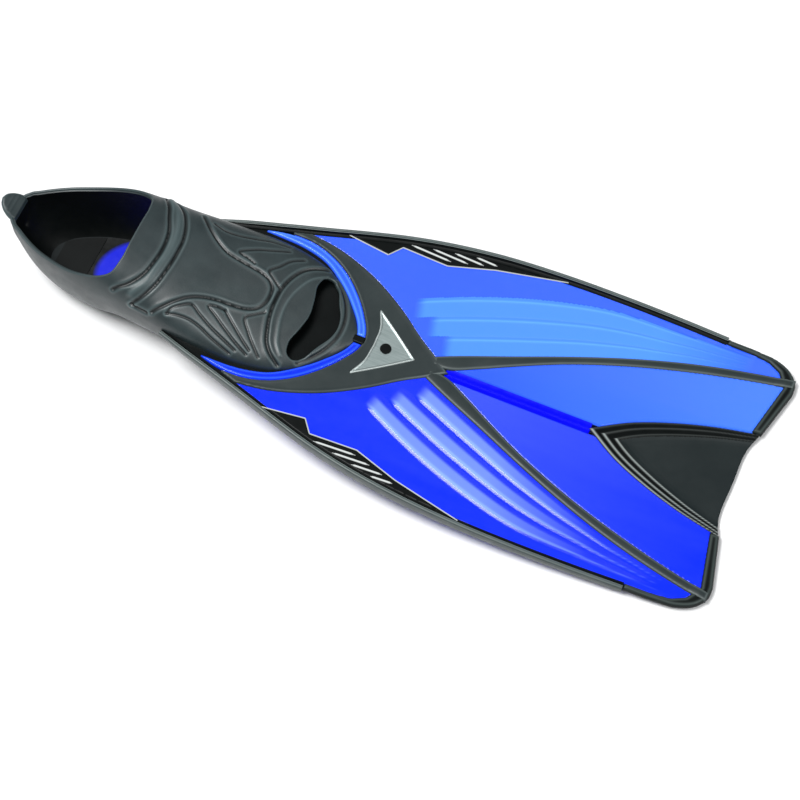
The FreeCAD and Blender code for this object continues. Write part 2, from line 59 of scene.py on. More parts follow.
# -------- dimensions shared with the CAD, mm
PANEL_T = 2.6
YOKE_T = 4.0
CHANNEL_T = 3.6
BUMPER_T = 6.0
RING_T = 3.6
RAIL_W = 5.5
RAIL_GAP = 0.4
RAIL_WALL = 2.8
RAIL_FLANGE_T = 3.6
SHELL_T = 3.0
INSERT_T = 4.0
BADGE_T = 1.4
TOP_POWER = 2.5
HEEL_AXIS = (-342.8, -40.0)
HEEL_CUT_RIM = (-296.0, 14.0)
TAB_AXIS = (-354.5, 3.2)
TAB_KNUCKLE_R = 2.6
TAB_WIDTH = 22.0
TAB_END_WIDTH = 14.0
TAB_REACH = 15.5
TAB_TILT = 32.0
HEEL_REST = (-325.0, -50.0)
SOLE_SLOPE = 0.134
SOLE_DROP = 1.5

RAIL_OUTER = [
    (-210, 54), (-190, 60.5), (-160, 69.3), (-130, 78.1), (-100, 87.3), (-70, 95.7), (-40, 102.1),
    (0, 107.8), (50, 111.2), (100, 111.9), (150, 111), (181, 109.8),
]
RAIL_HALF_HEIGHT = [
    (-210, 2), (-190, 3.4), (-150, 4.6), (-100, 5), (0, 5.4), (50, 4.8), (100, 4.3), (181, 3.6),
]
BUMPER_OUTER = [
    (181, 109), (205, 108.2), (221, 106.4), (233, 100.5), (239.5, 91), (239.8, 83), (230, 43.5),
]
BUMPER_INNER = [(181, 104), (203, 103.4), (215, 101.8), (224.5, 97), (231.5, 86.5), (222.5, 43.5)]
YOKE_OUTER = [
    (-152, 70), (-137, 68.8), (-118, 66), (-93, 58.3), (-77, 51.3), (-49, 34.7), (-27, 18.5), (-13, 9.6),
    (-3, 2.6),
]
YOKE_NOSE = (1.2, 0.0)
RING_OUTER = [
    (-173, 59.5), (-160, 62.3), (-148, 63.4), (-136, 62.6), (-118, 57.3), (-103, 48.8), (-88, 35.5),
    (-76, 20.8), (-68, 6.5), (-66.6, 0),
]
RING_INNER = [
    (-173, 57.5), (-160, 57.6), (-138, 55.8), (-121, 51), (-104, 39.8), (-88, 24.8), (-76.5, 9.8),
    (-72.9, 0),
]
CHANNEL_OUTER = [
    (-13, 9.6), (0, 15.6), (40, 32.5), (80, 49.5), (120, 65), (160, 78), (200, 88), (234, 94.5),
    (238.5, 95.2),
]
CHANNEL_INNER = [
    (-13, 2), (0, 3), (20, 12), (40, 22.5), (80, 42), (120, 57.5), (160, 70), (200, 80.3), (234, 87.2),
    (238.5, 88),
]
CREASE_HALF = 4.2
FLAP_APEX = 113.0
FLAP_EDGE = [(113, 0), (140, 16.5), (165, 27), (195, 36.5), (229, 44)]
FLAP_TRAIL = [(229, 44), (225, 32), (224, 0)]
INSERT_EDGE = [(-114, 79.5), (-80, 75.3), (-72, 85.5), (-35, 84), (0, 95), (54, 106.5)]
INSERT_RIB_LENGTHS = (33.0, 29.0, 24.0, 17.0)
INSERT_RIB_START = (-67.0, 90.0)
INSERT_RIB_STEP = (16.5, 3.1)
INSERT_RIB_SLOPE = -3.0
BADGE_CORNER = (-66.0, 29.0)
BADGE_NOSE = (-25.5, 0.0)
BADGE_WAIST = (-59.0, 0.0)

# Stations of the foot pocket: x, half width, bottom z, z of the widest point, top z, and the power
# of the section below that point.
POCKET = [
    (-357.5, 6, -12, 2, 10, 1.6),
    (-353, 14.5, -24, 2, 17, 1.8),
    (-346, 19.6, -36, -1, 22, 2),
    (-337, 25.2, -46, -3, 26, 2.1),
    (-325, 31.2, -52, -4, 30, 2.2),
    (-310, 36.6, -55, -4, 34, 2.3),
    (-292, 41.6, -54, -2, 39, 2.3),
    (-272, 44.9, -52, 0, 42, 2.3),
    (-254, 46.5, -49.5, 3, 38.5, 2.1),
    (-230, 48.5, -46, 2, 30.5, 2.2),
    (-205, 51, -43, 1, 24.5, 2.3),
    (-180, 53, -39, 0, 19, 2.4),
    (-155, 54, -35.5, -1, 15.5, 2.5),
    (-135, 52, -32, -1.5, 13, 2.6),
    (-118, 47.5, -29, -2, 11, 2.6),
    (-104, 39.8, -26, -2, 9, 2.6),
    (-88, 25, -21, -1.5, 5.5, 2.6),
    (-77, 10.5, -14, -1, 2.8, 2.6),
    (-73.3, 3, -8, -0.5, 1.2, 2.6),
]
MOUTH = [
    (-380, 3), (-352, 5.5), (-344, 6), (-330, 7), (-313, 9.5), (-292, 14.5), (-276, 20.5), (-262.5, 26),
    (-254, 31), (-250.5, 36), (-250, 60),
]
WINDOW = [
    (-111.5, 0), (-113.5, 13), (-116.5, 28), (-114, 35.5), (-107.5, 38), (-101, 33), (-94, 20), (-88.5, 9),
    (-87, 0),
]

# Lines pressed into the top of the pocket, seen in plan.
COLLAR_GROOVE = [
    (-248, 42), (-241, 34), (-237, 26), (-231, 13), (-229, 0), (-230, -14), (-233, -26), (-240, -36),
    (-251, -43),
]
BAND_CREST = [
    (-244, 42), (-234, 33), (-228, 22), (-224.5, 8), (-224, -4), (-226, -17), (-229, -30), (-237, -41),
]
BAND_FRONT = [
    (-240, 43), (-230, 36), (-224, 27), (-219.5, 14), (-218.5, 0), (-219.5, -15), (-223, -31), (-230, -42),
    (-235, -46),
]
BAND_CORNER = [(-235, -46), (-222, -47)]
TONGUE = [
    (-216, 41), (-206, 31.8), (-197, 25.2), (-187, 20.2), (-176, 18.4), (-166, 17.4), (-157, 16.2),
    (-149, 13.2), (-145, 8.8), (-143.5, 3), (-144, -5), (-148, -12.4), (-155, -16.2), (-165, -18),
    (-177, -19.2), (-187, -21.8), (-196, -26.3), (-204, -33.1), (-211, -40), (-218, -46),
]
FANS = [
    [(-206, 39), (-196, 37), (-186, 38.5), (-175, 42), (-162, 46.5), (-149, 48.5)],
    [(-147, 44), (-158, 38.5), (-170, 32.5), (-179, 24.8), (-171, 23.2), (-165, 21)],
    [(-134, 42), (-142, 36), (-147, 28.2), (-152.5, 20), (-147, 15.4), (-140, 10.6)],
    [(-153, -51), (-161, -49), (-170, -46.4), (-181, -42.5), (-189, -41), (-198, -41.5), (-207, -43.5)],
    [(-207, -43.5), (-205, -39.2), (-199, -34.1), (-192.5, -30.6), (-184, -34.5), (-172, -40),
     (-161, -44), (-150, -47.8)],
    [(-141, -47.3), (-151, -43.1), (-161, -37.7), (-172, -31.2), (-180.5, -25.6), (-174, -23.7),
     (-168, -24)],
    [(-168, -24), (-157, -32.3), (-148, -38.8), (-140, -44)],
    [(-132, -45.5), (-139, -39.1), (-146, -31.9), (-152.4, -22.2), (-147, -17.2), (-141, -12.5)],
]
TOE_GROOVE = [
    (-115, 43.5), (-124, 38.4), (-130, 32.9), (-135, 23.7), (-138, 12.6), (-138.5, 0), (-137, -13.2),
    (-134, -24.1), (-130, -33.9), (-125, -39.6), (-117, -44.5),
]
TOE_STEP = [
    (-112, 37), (-121, 29.1), (-127, 16.8), (-130, 2.3), (-129, -11.6), (-126, -22.7), (-123, -30.7),
    (-117, -38),
]
NOSE_GROOVE = [
    (-104, 36.5), (-97, 30), (-89.5, 18.9), (-85.5, 6.4), (-85.5, -6.4), (-89.5, -18), (-95, -27),
    (-104, -37),
]

# Each pressed line with its depth and half width.
PRESSED_LINES = [(COLLAR_GROOVE, 1.4, 1.2), (BAND_FRONT, 1.3, 1.1), (BAND_CORNER, 0.9, 1.0),
                 (TONGUE, 1.2, 1.1), (TOE_GROOVE, 1.4, 1.2), (NOSE_GROOVE, 0.9, 1.0)]
FAN_DEPTH = 0.9
CREST_HEIGHT, CREST_HALF = 1.5, 3.4
STEP_HEIGHT, STEP_HALF = 0.5, 1.2

# Outermost edge of the flutes on an outer panel, and where each starts, from the outer one inwards.
FLUTE_EDGE = [(-60, 41), (-45, 49), (7, 73), (51, 88), (90, 97), (146, 99.5), (215, 101)]
FLUTE_START = (-46.0, -31.0, -15.0)
FLUTE_END = 205.0
FLUTE_HEIGHT = 1.0
FLUTE_RISE = 0.22      # share of a flute's width taken by its steep side

# Height across the flap's bevel, by share of its width, and the width at stations along the flap.
FLAP_PROFILE = [
    (0, 1), (0.07, 1.6), (0.16, 1.1), (0.36, 0.6), (0.44, 1.1), (0.52, 0.4), (0.78, 0), (0.88, 0.5),
    (1, -0.3), (1.25, -0.9), (1.6, -1.1), (9, -1.15),
]
# Shares of the bevel's width where painted highlight lines run.
FLAP_PAINTED_HIGHLIGHTS = (0.07, 0.44, 0.88)
FLAP_BEVEL = [(113, 15), (150, 11.5), (190, 9), (229, 6)]

SKIN = 0.25            # the visible skin stands this far outside the CAD's
RIM_BEAD = 1.1         # radius of the bead round the foot opening and the window
SOLE_SEAM = 1.2        # the skin ends this far above the sole's plane
GROUND_GAP = 0.3
SHORTEST_RIM = 40      # an edge loop with fewer points is a flaw of the cut, and gets no bead
SOLE_EDGE_Z = -12.0    # an edge that lies lower than this is the seam with the sole
UNDERLAP = 0.9         # the blue panels reach this far under the pieces that border them
CLIP = (-77.0, -65.6, 3.2)      # rear x, front x and half width of the clip on the ring's nose
TAB_RIDGES = (5.5, 9.0)         # where the two grip ridges lie, from the tab's root

FLEX_LENGTH = 170.0    # length from the apex forward to a point that bend() computes and does not use
FOLD_BEFORE, FOLD_AFTER = 20.0, 36.0    # distances ahead of and behind the heel's fold line, where make_pocket() computes points that it does not use
TAB_BEND = (1.0, 9.0)  # distances from the tab's axis where make_pull_tab() computes points that it does not use

ON_LINE = 1e-6         # points with less depth than this lie on the outline itself
GRID_X = 0.8           # spacing of the pocket's sections
GRID_AROUND = 372      # points in each of them

CAMERA_AZIMUTH, CAMERA_ELEVATION, CAMERA_ROLL = 32.40, 60.63, 9.93      # degrees
CAMERA_TARGET = (0.0396, -0.0310, 0.0200)
CAMERA_DISTANCE = 1.8394
CAMERA_LENS = 112.5


# -------- frame
joints = {j["name"]: j for j in frame["joints"]}
APEX = Vector(joints["blade_flex"]["pos_m"])
HEEL = Vector(joints["heel_fold"]["pos_m"])
PITCH = math.atan2(HEEL_AXIS[1], HEEL_AXIS[0]) - math.atan2(HEEL.z - APEX.z, HEEL.x - APEX.x)


def to_row(points):
    """Blade frame in mm to row frame in metres."""
    p = np.asarray(points, float).reshape(-1, 3)
    c, s = math.cos(PITCH), math.sin(PITCH)
    turned = np.column_stack([p[:, 0] * c + p[:, 2] * s, p[:, 1], -p[:, 0] * s + p[:, 2] * c])
    return turned * MM + np.array(APEX)


# -------- curves and areas in plan
def hermite(knots, values, at):
    """Smooth interpolation of the rows of values, which are given at the knots."""
    knots, values, at = np.asarray(knots, float), np.asarray(values, float), np.asarray(at, float)
    gap = np.diff(knots)
    slope = np.diff(values, axis=0) / gap[:, None]
    middle = (slope[:-1] * gap[1:, None] + slope[1:] * gap[:-1, None]) / (gap[1:] + gap[:-1])[:, None]
    tangent = np.vstack([slope[:1], middle, slope[-1:]])
    i = np.clip(np.searchsorted(knots, at, side="right") - 1, 0, len(gap) - 1)
    t, h = ((at - knots[i]) / gap[i])[:, None], gap[i][:, None]
    start = values[i] * (2 * t**3 - 3 * t**2 + 1) + tangent[i] * h * (t**3 - 2 * t**2 + t)
    return start + values[i + 1] * (3 * t**2 - 2 * t**3) + tangent[i + 1] * h * (t**3 - t**2)


def smooth(points, closed=False, spacing=1.5):
    """Points at even spacing along a smooth curve through the given ones."""
    p = np.asarray(points, float)
    count = len(p)
    if closed:
        p = np.vstack([p[-3:], p, p[:4]])
    knots = np.concatenate([[0], np.cumsum(np.linalg.norm(np.diff(p, axis=0), axis=1))])
    first, last = (knots[3], knots[3 + count]) if closed else (knots[0], knots[-1])
    steps = max(2, int((last - first) / spacing) + 1)
    at = np.linspace(first, last, steps, endpoint=not closed)
    return hermite(knots, p, at)


def flip(points):
    return np.asarray(points, float) * (1, -1)


def both_sides(left):
    """A closed outline from its left half, which starts and ends at or near the centreline."""
    left = np.asarray(left, float)
    return np.vstack([left, flip(left)[::-1]])


def nearest(points, line, closed=False):
    """Distance of each point from a line of points, in two dimensions or three."""
    best = np.full(len(points), 1e9)
    ends = np.roll(line, -1, 0) if closed else line[1:]
    for a, b in zip(line, ends):
        d = b - a
        t = np.clip((points - a) @ d / max(d @ d, 1e-12), 0, 1)
        best = np.minimum(best, ((points - a - t[:, None] * d) ** 2).sum(1))
    return np.sqrt(best)


def inside(points, ring):
    """Depth of each point inside a closed outline; negative outside it."""
    odd = np.zeros(len(points), bool)
    x, y = points[:, 0], points[:, 1]
    for (ax, ay), (bx, by) in zip(ring, np.roll(ring, -1, 0)):
        if ay == by:
            continue
        crosses = (ay > y) != (by > y)
        odd ^= crosses & (x < (bx - ax) * (y - ay) / (by - ay) + ax)
    return np.where(odd, 1, -1) * nearest(points, ring, closed=True)


def along(table, x):
    """Linear look-up in a table of (x, value) rows."""
    t = np.asarray(table, float)
    return np.interp(x, t[:, 0], t[:, 1])


rail_inner = smooth([(x, y - RAIL_W - RAIL_GAP) for x, y in RAIL_OUTER])
FIELD = both_sides(np.vstack([rail_inner, BUMPER_INNER]))
yoke_outer, ring_outer, ring_inner = smooth(YOKE_OUTER), smooth(RING_OUTER), smooth(RING_INNER)
YOKE = np.vstack([yoke_outer, [YOKE_NOSE], flip(yoke_outer)[::-1], flip(ring_outer), ring_outer[::-1]])
RING = np.vstack([both_sides(ring_outer), flip(ring_inner), ring_inner[::-1]])
RING_FILLED = both_sides(np.vstack([[(-215, 55.0)], ring_outer]))
CHANNEL = np.vstack([smooth(CHANNEL_OUTER), smooth(CHANNEL_INNER)[::-1]])
FLAP = both_sides(np.vstack([smooth(FLAP_EDGE), smooth(FLAP_TRAIL)]))
INSERT = np.array(INSERT_EDGE + [(INSERT_EDGE[-1][0], 200.0), (INSERT_EDGE[0][0], 200.0)], float)
BUMPER = np.vstack([smooth(BUMPER_OUTER[:-1]), BUMPER_OUTER[-1:], BUMPER_INNER[::-1]])
REAR_WEB = [(-207, 48.0), (-190, 54.8), (-172, 60.4), (-153, 66.0)]
WEB = both_sides(np.vstack([REAR_WEB, smooth(RING_OUTER[2:]) - (1.0, 1.0)]))


def bell(distance, half):
    """A smooth bump: 1 at no distance, and nearly nothing beyond twice the half width."""
    return np.exp(-((distance / half) ** 2))


# -------- mesh tools
def clip(rows, faces, value):
    """Keeps the part of a mesh where value is positive, and cuts faces where it is zero."""
    rows, cuts, kept = list(rows), {}, []
    keep = value > 0

    def cut(i, j):
        on_line = [k for k in (i, j) if 0 < value[k] < ON_LINE]
        if on_line:
            return on_line[0]
        key = (min(i, j), max(i, j))
        if key not in cuts:
            t = value[i] / (value[i] - value[j])
            cuts[key] = len(rows)
            rows.append(rows[i] + t * (rows[j] - rows[i]))
        return cuts[key]

    for face in faces:
        inner = sum(keep[i] for i in face)
        if inner == len(face):
            kept.append(list(face))
        elif inner:
            ring = []
            for i, j in zip(face, list(face[1:]) + [face[0]]):
                if keep[i]:
                    ring.append(i)
                if keep[i] != keep[j]:
                    ring.append(cut(i, j))
            ring = [i for k, i in enumerate(ring) if i != ring[k - 1]]
            if len(set(ring)) == len(ring) > 2:
                kept.append(ring)
    used = sorted({i for face in kept for i in face})
    place = {old: new for new, old in enumerate(used)}
    return np.array([rows[i] for i in used]), [[place[i] for i in face] for face in kept]


def border(faces):
    """Edges that only one face has, in that face's direction."""
    seen = {}
    for face in faces:
        for i, j in zip(face, face[1:] + face[:1]):
            seen[(i, j)] = True
    return [(i, j) for i, j in seen if (j, i) not in seen]


def loops(edges):
    """The closed rings that a set of directed edges makes."""
    following, rings = dict(edges), []
    while following:
        start = next(iter(following))
        ring, i = [start], following.pop(start)
        while i != start and i in following:
            ring.append(i)
            i = following.pop(i)
        rings.append(ring)
    return rings


def closed_shell(faces, count):
    """Faces of a shell whose second skin has the same points numbered from count on."""
    back = [[i + count for i in reversed(face)] for face in faces]
    walls = [[j, i, i + count, j + count] for i, j in border(faces)]
    return faces + back + walls


def grid_faces(rows, columns, ring=False, wrap=True):
    """Faces of a grid of points.  ring joins the last row to the first, wrap the last column."""
    faces = []
    for i in range(rows if ring else rows - 1):
        for k in range(columns if wrap else columns - 1):
            n, m = (i + 1) % rows * columns, (k + 1) % columns
            faces.append([i * columns + k, n + k, n + m, i * columns + m])
    return faces


def turned_over(faces):
    """The same four-sided faces seen from the other side, with the same first corner."""
    return [[a, d, c, b] for a, b, c, d in faces]


def unit(vectors):
    return vectors / np.maximum(np.linalg.norm(vectors, axis=1)[:, None], 1e-9)


def tube(line, radius, sides=10, closed=False):
    """A round bar along a line of points, as points and faces."""
    line = np.asarray(line, float)
    ahead = (np.roll(line, -1, 0) - np.roll(line, 1, 0)) if closed else np.gradient(line, axis=0)
    ahead = unit(ahead)
    side = unit(np.cross(ahead, (0, 0, 1)))
    over = np.cross(side, ahead)
    radius = np.broadcast_to(np.asarray(radius, float), (len(line),))[:, None]
    rings = []
    for k in range(sides):
        a = 2 * math.pi * k / sides
        rings.append(line + radius * (math.cos(a) * side + math.sin(a) * over))
    co = np.stack(rings, 1).reshape(-1, 3)
    faces = grid_faces(len(line), sides, ring=closed)
    if not closed:
        faces.append(list(range(sides)))
        faces.append(list(range(len(co) - sides, len(co)))[::-1])
    return co, faces


def add_object(name, data):
    thing = bpy.data.objects.new(name, data)
    bpy.context.scene.collection.objects.link(thing)
    return thing


def make(name, co, faces, materials, slot, tone=None, pick=None, sharp=42.0, mirror=False):
    """A mesh object from blade-frame points, with painted shade (-1) to painted highlight (1) per point.
    """
    co = np.asarray(co, float)
    if mirror:
        co, faces = co * (1, -1, 1), [list(reversed(face)) for face in faces]
    mesh = bpy.data.meshes.new(name)
    mesh.from_pydata(to_row(co).tolist(), [], faces)
    for material in materials:
        mesh.materials.append(material)
    if pick is not None:
        mesh.polygons.foreach_set("material_index", np.asarray(pick, np.int32))
    if tone is not None:
        # The attribute holds painted highlight and painted shade, which the materials mix into the colour.
        shade = mesh.attributes.new("PaintedShading", "FLOAT", "POINT")
        shade.data.foreach_set("value", np.asarray(tone, np.float32))
    mesh.polygons.foreach_set("use_smooth", [True] * len(mesh.polygons))
    mesh.set_sharp_from_angle(angle=math.radians(sharp))
    mesh.update()
    piece = add_object(name, mesh)
    return piece


def bend(piece):
    """Bakes the piece's placement into its mesh; points at the apex and FLEX_LENGTH ahead are computed,
    not used.
    """
    to_row([0, 0, 0])[0]
    to_row([FLEX_LENGTH, 0, 0])[0]
    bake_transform(piece)
    return piece


def make_pair(name, replaced, co, faces, materials, slot, painted_shadings, **settings):
    """The left piece and its mirror image, with the CAD nodes that they replace hidden."""
    for side, mirror, material, tone in zip(("left", "right"), (False, True), materials, painted_shadings):
        piece = make(f"{name}_{side}", co, faces, [material], slot, tone, mirror=mirror, **settings)
        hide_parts(*(f"{node}_{side}" for node in replaced))
        bend(piece)


def rounded(depth, radius):
    """How far a rounded edge drops below the flat at each depth in from the edge."""
    d = np.clip(radius - depth, 0, radius)
    return radius - np.sqrt(radius**2 - d**2)


def slab(area, box, top, bottom, step=1.0):
    """A flat piece: the plan area where area() is positive, between the heights top() and bottom().

    box gives the limits in x and y.  Grid points that lie close to the outline are moved onto it.
    """
    x0, x1, y0, y1 = box
    xs, ys = np.arange(x0, x1 + step, step), np.arange(y0, y1 + step, step)
    plan = np.stack(np.meshgrid(xs, ys, indexing="ij"), -1).reshape(-1, 2)
    depth = area(plan)
    slope = np.stack(np.gradient(depth.reshape(len(xs), len(ys)), step), -1).reshape(-1, 2)
    length = np.linalg.norm(slope, axis=1)
    snap = (np.abs(depth) < 0.42 * step) & (length > 0.8) & (length < 1.2)
    plan[snap] -= slope[snap] * (depth[snap] / length[snap] ** 2)[:, None]
    depth[snap] = ON_LINE / 2
    faces = grid_faces(len(xs), len(ys), wrap=False)
    rows, faces = clip(np.column_stack([plan, depth]), faces, depth)
    plan, depth = rows[:, :2], np.maximum(rows[:, 2], 0)
    upper = np.column_stack([plan, top(plan, depth)])
    lower = np.column_stack([plan, bottom(plan, depth)])
    return np.vstack([upper, lower]), closed_shell(faces, len(plan)), plan, depth


def join(*parts):
    """Several (points, faces) sets as one."""
    co, faces = [], []
    offset = 0
    for points, polygons in parts:
        co.append(points)
        faces += [[i + offset for i in face] for face in polygons]
        offset += len(points)
    return np.vstack(co), faces


# -------- materials
class Nodes:
    """Short names for building a shader."""

    def __init__(self, name):
        self.material = bpy.data.materials.new(name)
        self.material.use_nodes = True
        self.tree = self.material.node_tree
        self.shader = self.tree.nodes["Principled BSDF"]
        self.place = self.add("ShaderNodeTexCoord").outputs["Object"]

    def add(self, kind, **settings):
        node = self.tree.nodes.new(kind)
        for key, value in settings.items():
            setattr(node, key, value)
        return node

    def link(self, source, target):
        self.tree.links.new(source, target)

    def noise(self, scale, detail=3.0, roughness=0.55, stretch=None):
        node = self.add("ShaderNodeTexNoise")
        node.inputs["Scale"].default_value = scale
        node.inputs["Detail"].default_value = detail
        node.inputs["Roughness"].default_value = roughness
        vector = self.place
        if stretch:
            mapping = self.add("ShaderNodeMapping")
            mapping.inputs["Scale"].default_value = stretch
            self.link(self.place, mapping.inputs["Vector"])
            vector = mapping.outputs["Vector"]
        self.link(vector, node.inputs["Vector"])
        return node.outputs["Fac"]

    def ramp(self, source, low, high, out_low, out_high):
        node = self.add("ShaderNodeMapRange")
        keys = ("From Min", "From Max", "To Min", "To Max")
        for key, value in zip(keys, (low, high, out_low, out_high)):
            node.inputs[key].default_value = value
        self.link(source, node.inputs["Value"])
        return node.outputs["Result"]

    def mix(self, factor, one, two):
        node = self.add("ShaderNodeMix", data_type="RGBA")
        self.link(factor, node.inputs["Factor"])
        for value, socket in ((one, node.inputs["A"]), (two, node.inputs["B"])):
            if isinstance(value, tuple):
                socket.default_value = (*value, 1.0)
            else:
                self.link(value, socket)
        return node.outputs["Result"]

    # Reads the attribute of painted highlight and painted shade.
    def tone(self):
        return self.add("ShaderNodeAttribute", attribute_name="PaintedShading").outputs["Fac"]

    def bump(self, height, distance, strength=1.0):
        node = self.add("ShaderNodeBump")
        node.inputs["Distance"].default_value = distance * MM
        node.inputs["Strength"].default_value = strength
        self.link(height, node.inputs["Height"])
        self.link(node.outputs["Normal"], self.shader.inputs["Normal"])


def rubber(name, dark, light, rough, grain, specular, cloud):
    """Moulded rubber: a fine cast grain, cloudy bloom, painted highlights, painted shade in pressed lines.
    """
    n = Nodes(name)
    body = n.mix(n.ramp(n.noise(38, 4), 0.35, 0.7, 0.0, cloud), dark, light)
    # Mixed towards the light colour where the attribute is positive: painted highlight.
    colour = n.mix(n.tone(), body, light)
    # Mixed towards near black where it is negative: painted shade in the pressed lines.
    groove_shade_mask = n.ramp(n.tone(), -0.6, 0.0, 0.85, 0.0)
    n.link(n.mix(groove_shade_mask, colour, tuple(0.12 * c for c in dark)), n.shader.inputs["Base Color"])
    n.link(n.ramp(n.noise(120, 5), 0.3, 0.7, *rough), n.shader.inputs["Roughness"])
    n.shader.inputs["Specular IOR Level"].default_value = specular
    n.bump(n.noise(900, 2), grain, 0.8)
    return n.material


def blade_plastic(name, deep, light, ripple, specular):
    """Glossy tinted plastic with painted highlights, and faint flow lines along the moulding."""
    n = Nodes(name)
    flow = n.ramp(n.noise(30, 4, stretch=(0.25, 1.6, 1.0)), 0.35, 0.7, 0.0, 0.025)
    body = n.mix(flow, deep, light)
    # Mixed towards the light colour by the attribute: painted highlight.
    n.link(n.mix(n.tone(), body, light), n.shader.inputs["Base Color"])
    n.link(n.ramp(n.noise(200, 4), 0.3, 0.7, 0.16, 0.26), n.shader.inputs["Roughness"])
    n.shader.inputs["Specular IOR Level"].default_value = specular
    n.shader.inputs["Coat Weight"].default_value = 0.5 * specular
    n.shader.inputs["Coat Roughness"].default_value = 0.08
    n.bump(n.noise(26, 2, stretch=(0.35, 1.5, 1.0)), ripple, 0.6)
    return n.material


def footbed_in_painted_shade(name, dark, blue):
    """Blue plastic, painted near black as shade inside the pocket except for a rounded lit patch."""
    n = Nodes(name)
    mapping = n.add("ShaderNodeMapping")
    for key, value in (("Location", (-0.98, -1.04, 0.0)), ("Scale", (2.13, 2.08, 0.0))):
        mapping.inputs[key].default_value = value
    n.link(n.add("ShaderNodeTexCoord").outputs["Generated"], mapping.inputs["Vector"])
    patch = n.add("ShaderNodeTexGradient", gradient_type="SPHERICAL")
    n.link(mapping.outputs["Vector"], patch.inputs["Vector"])
    # Blue only inside the rounded patch; near black round it as painted shade.
    lit_patch_mask = n.ramp(patch.outputs["Fac"], 0.05, 0.12, 0.0, 1.0)
    n.link(n.mix(lit_patch_mask, dark, blue), n.shader.inputs["Base Color"])
    n.link(n.ramp(n.noise(200, 4), 0.3, 0.7, 0.3, 0.4), n.shader.inputs["Roughness"])
    n.bump(n.noise(400, 3), 0.05, 0.6)
    return n.material


def brushed_metal(name):
    n = Nodes(name)
    streaks = n.noise(60, 6, 0.7, stretch=(1.0, 26.0, 1.0))
    face = n.mix(n.ramp(streaks, 0.3, 0.7, 0.0, 1.0), (0.23, 0.285, 0.28), (0.34, 0.40, 0.395))
    # Brightened towards a pale colour by the attribute: painted highlight on the badge's rim.
    n.link(n.mix(n.tone(), face, (0.52, 0.58, 0.57)), n.shader.inputs["Base Color"])
    n.link(n.ramp(streaks, 0.3, 0.7, 0.30, 0.44), n.shader.inputs["Roughness"])
    n.shader.inputs["Metallic"].default_value = 0.75
    n.bump(streaks, 0.03, 0.6)
    return n.material


def pale_floor(name):
    n = Nodes(name)
    n.link(n.mix(n.noise(6, 3), (0.86, 0.865, 0.87), (0.90, 0.90, 0.90)), n.shader.inputs["Base Color"])
    n.shader.inputs["Roughness"].default_value = 0.75
    n.shader.inputs["Specular IOR Level"].default_value = 0.2
    return n.material


# Dark and light colour, range of roughness, depth of the grain in mm, specular level, share of cloud.
# The light colour serves the cloud and the painted highlights; 0.12 of the dark one is the painted shade
# of pressed lines.
RUBBERS = {
    "pocket": ((0.015, 0.024, 0.026), (0.110, 0.160, 0.165), (0.36, 0.48), 0.05, 0.5, 0.08),
    # Near black, far darker than the pocket's rubber: painted shade inside the pocket, on its inner skin
    # and the heel pad.
    "lining_painted_shade": ((0.002, 0.003, 0.003), (0.010, 0.014, 0.014), (0.45, 0.6), 0.05, 0.2, 0.12),
    "sole": ((0.006, 0.009, 0.010), (0.030, 0.040, 0.040), (0.5, 0.68), 0.08, 0.25, 0.12),
    "yoke": ((0.014, 0.022, 0.023), (0.15, 0.18, 0.175), (0.34, 0.46), 0.03, 0.3, 0.05),
    "rail": ((0.002, 0.003, 0.003), (0.05, 0.065, 0.062), (0.30, 0.42), 0.02, 0.12, 0.05),
    "bead": ((0.030, 0.044, 0.044), (0.20, 0.24, 0.23), (0.32, 0.45), 0.02, 0.4, 0.12),
    "insert": ((0.001, 0.002, 0.002), (0.55, 0.58, 0.57), (0.30, 0.42), 0.02, 0.12, 0.003),
    "flap": ((0.006, 0.011, 0.012), (0.20, 0.23, 0.22), (0.40, 0.52), 0.03, 0.25, 0.02),
    "gloss": ((0.001, 0.002, 0.002), (0.30, 0.34, 0.33), (0.26, 0.36), 0.015, 0.12, 0.005),
}
# Deep and light colour, depth of the ripples in mm, specular level.
# Each half of the blade and of the ring takes a lit or a shaded copy of one plastic: painted light and
# shade.
PLASTICS = {
    "blue_lit_half": ((0.016, 0.085, 0.98), (0.11, 0.38, 1.0), 0.10, 0.4),
    "blue_shaded_half": ((0.0, 0.019, 0.86), (0.26, 0.42, 1.0), 0.10, 0.25),
    "ring_lit_half": ((0.020, 0.090, 0.90), (0.10, 0.30, 1.0), 0.02, 0.15),
    "blue_crease": ((0.0, 0.001, 0.70), (0.0, 0.004, 0.80), 0.02, 0.12),
    "ring_shaded_half": ((0.002, 0.022, 0.70), (0.03, 0.12, 0.95), 0.02, 0.15),
}
MAT = {name: rubber(f"mat_{name}", *values) for name, values in RUBBERS.items()}
MAT.update({name: blade_plastic(f"mat_{name}", *values) for name, values in PLASTICS.items()})
# The footbed's blue is painted near black as shade inside the pocket, but for a rounded lit patch.
MAT["footbed"] = footbed_in_painted_shade("mat_footbed_painted_shade", (0.002, 0.003, 0.003), (0.006, 0.015, 0.70))
MAT["badge"] = brushed_metal("mat_badge")


# -------- foot pocket
closing_rear = (POCKET[0][0] - 0.8, 1.2, -4.0, 1.0, 5.0, POCKET[0][5])
closing_front = (POCKET[-1][0] + 0.6, 0.6, -3.0, -0.5, 0.2, POCKET[-1][5])
STATIONS = np.array([closing_rear] + POCKET + [closing_front])


def pocket_section(x):
    """Half width, bottom, height of the widest point, top, and power below it, at stations x."""
    return hermite(STATIONS[:, 0], STATIONS[:, 1:], x).T


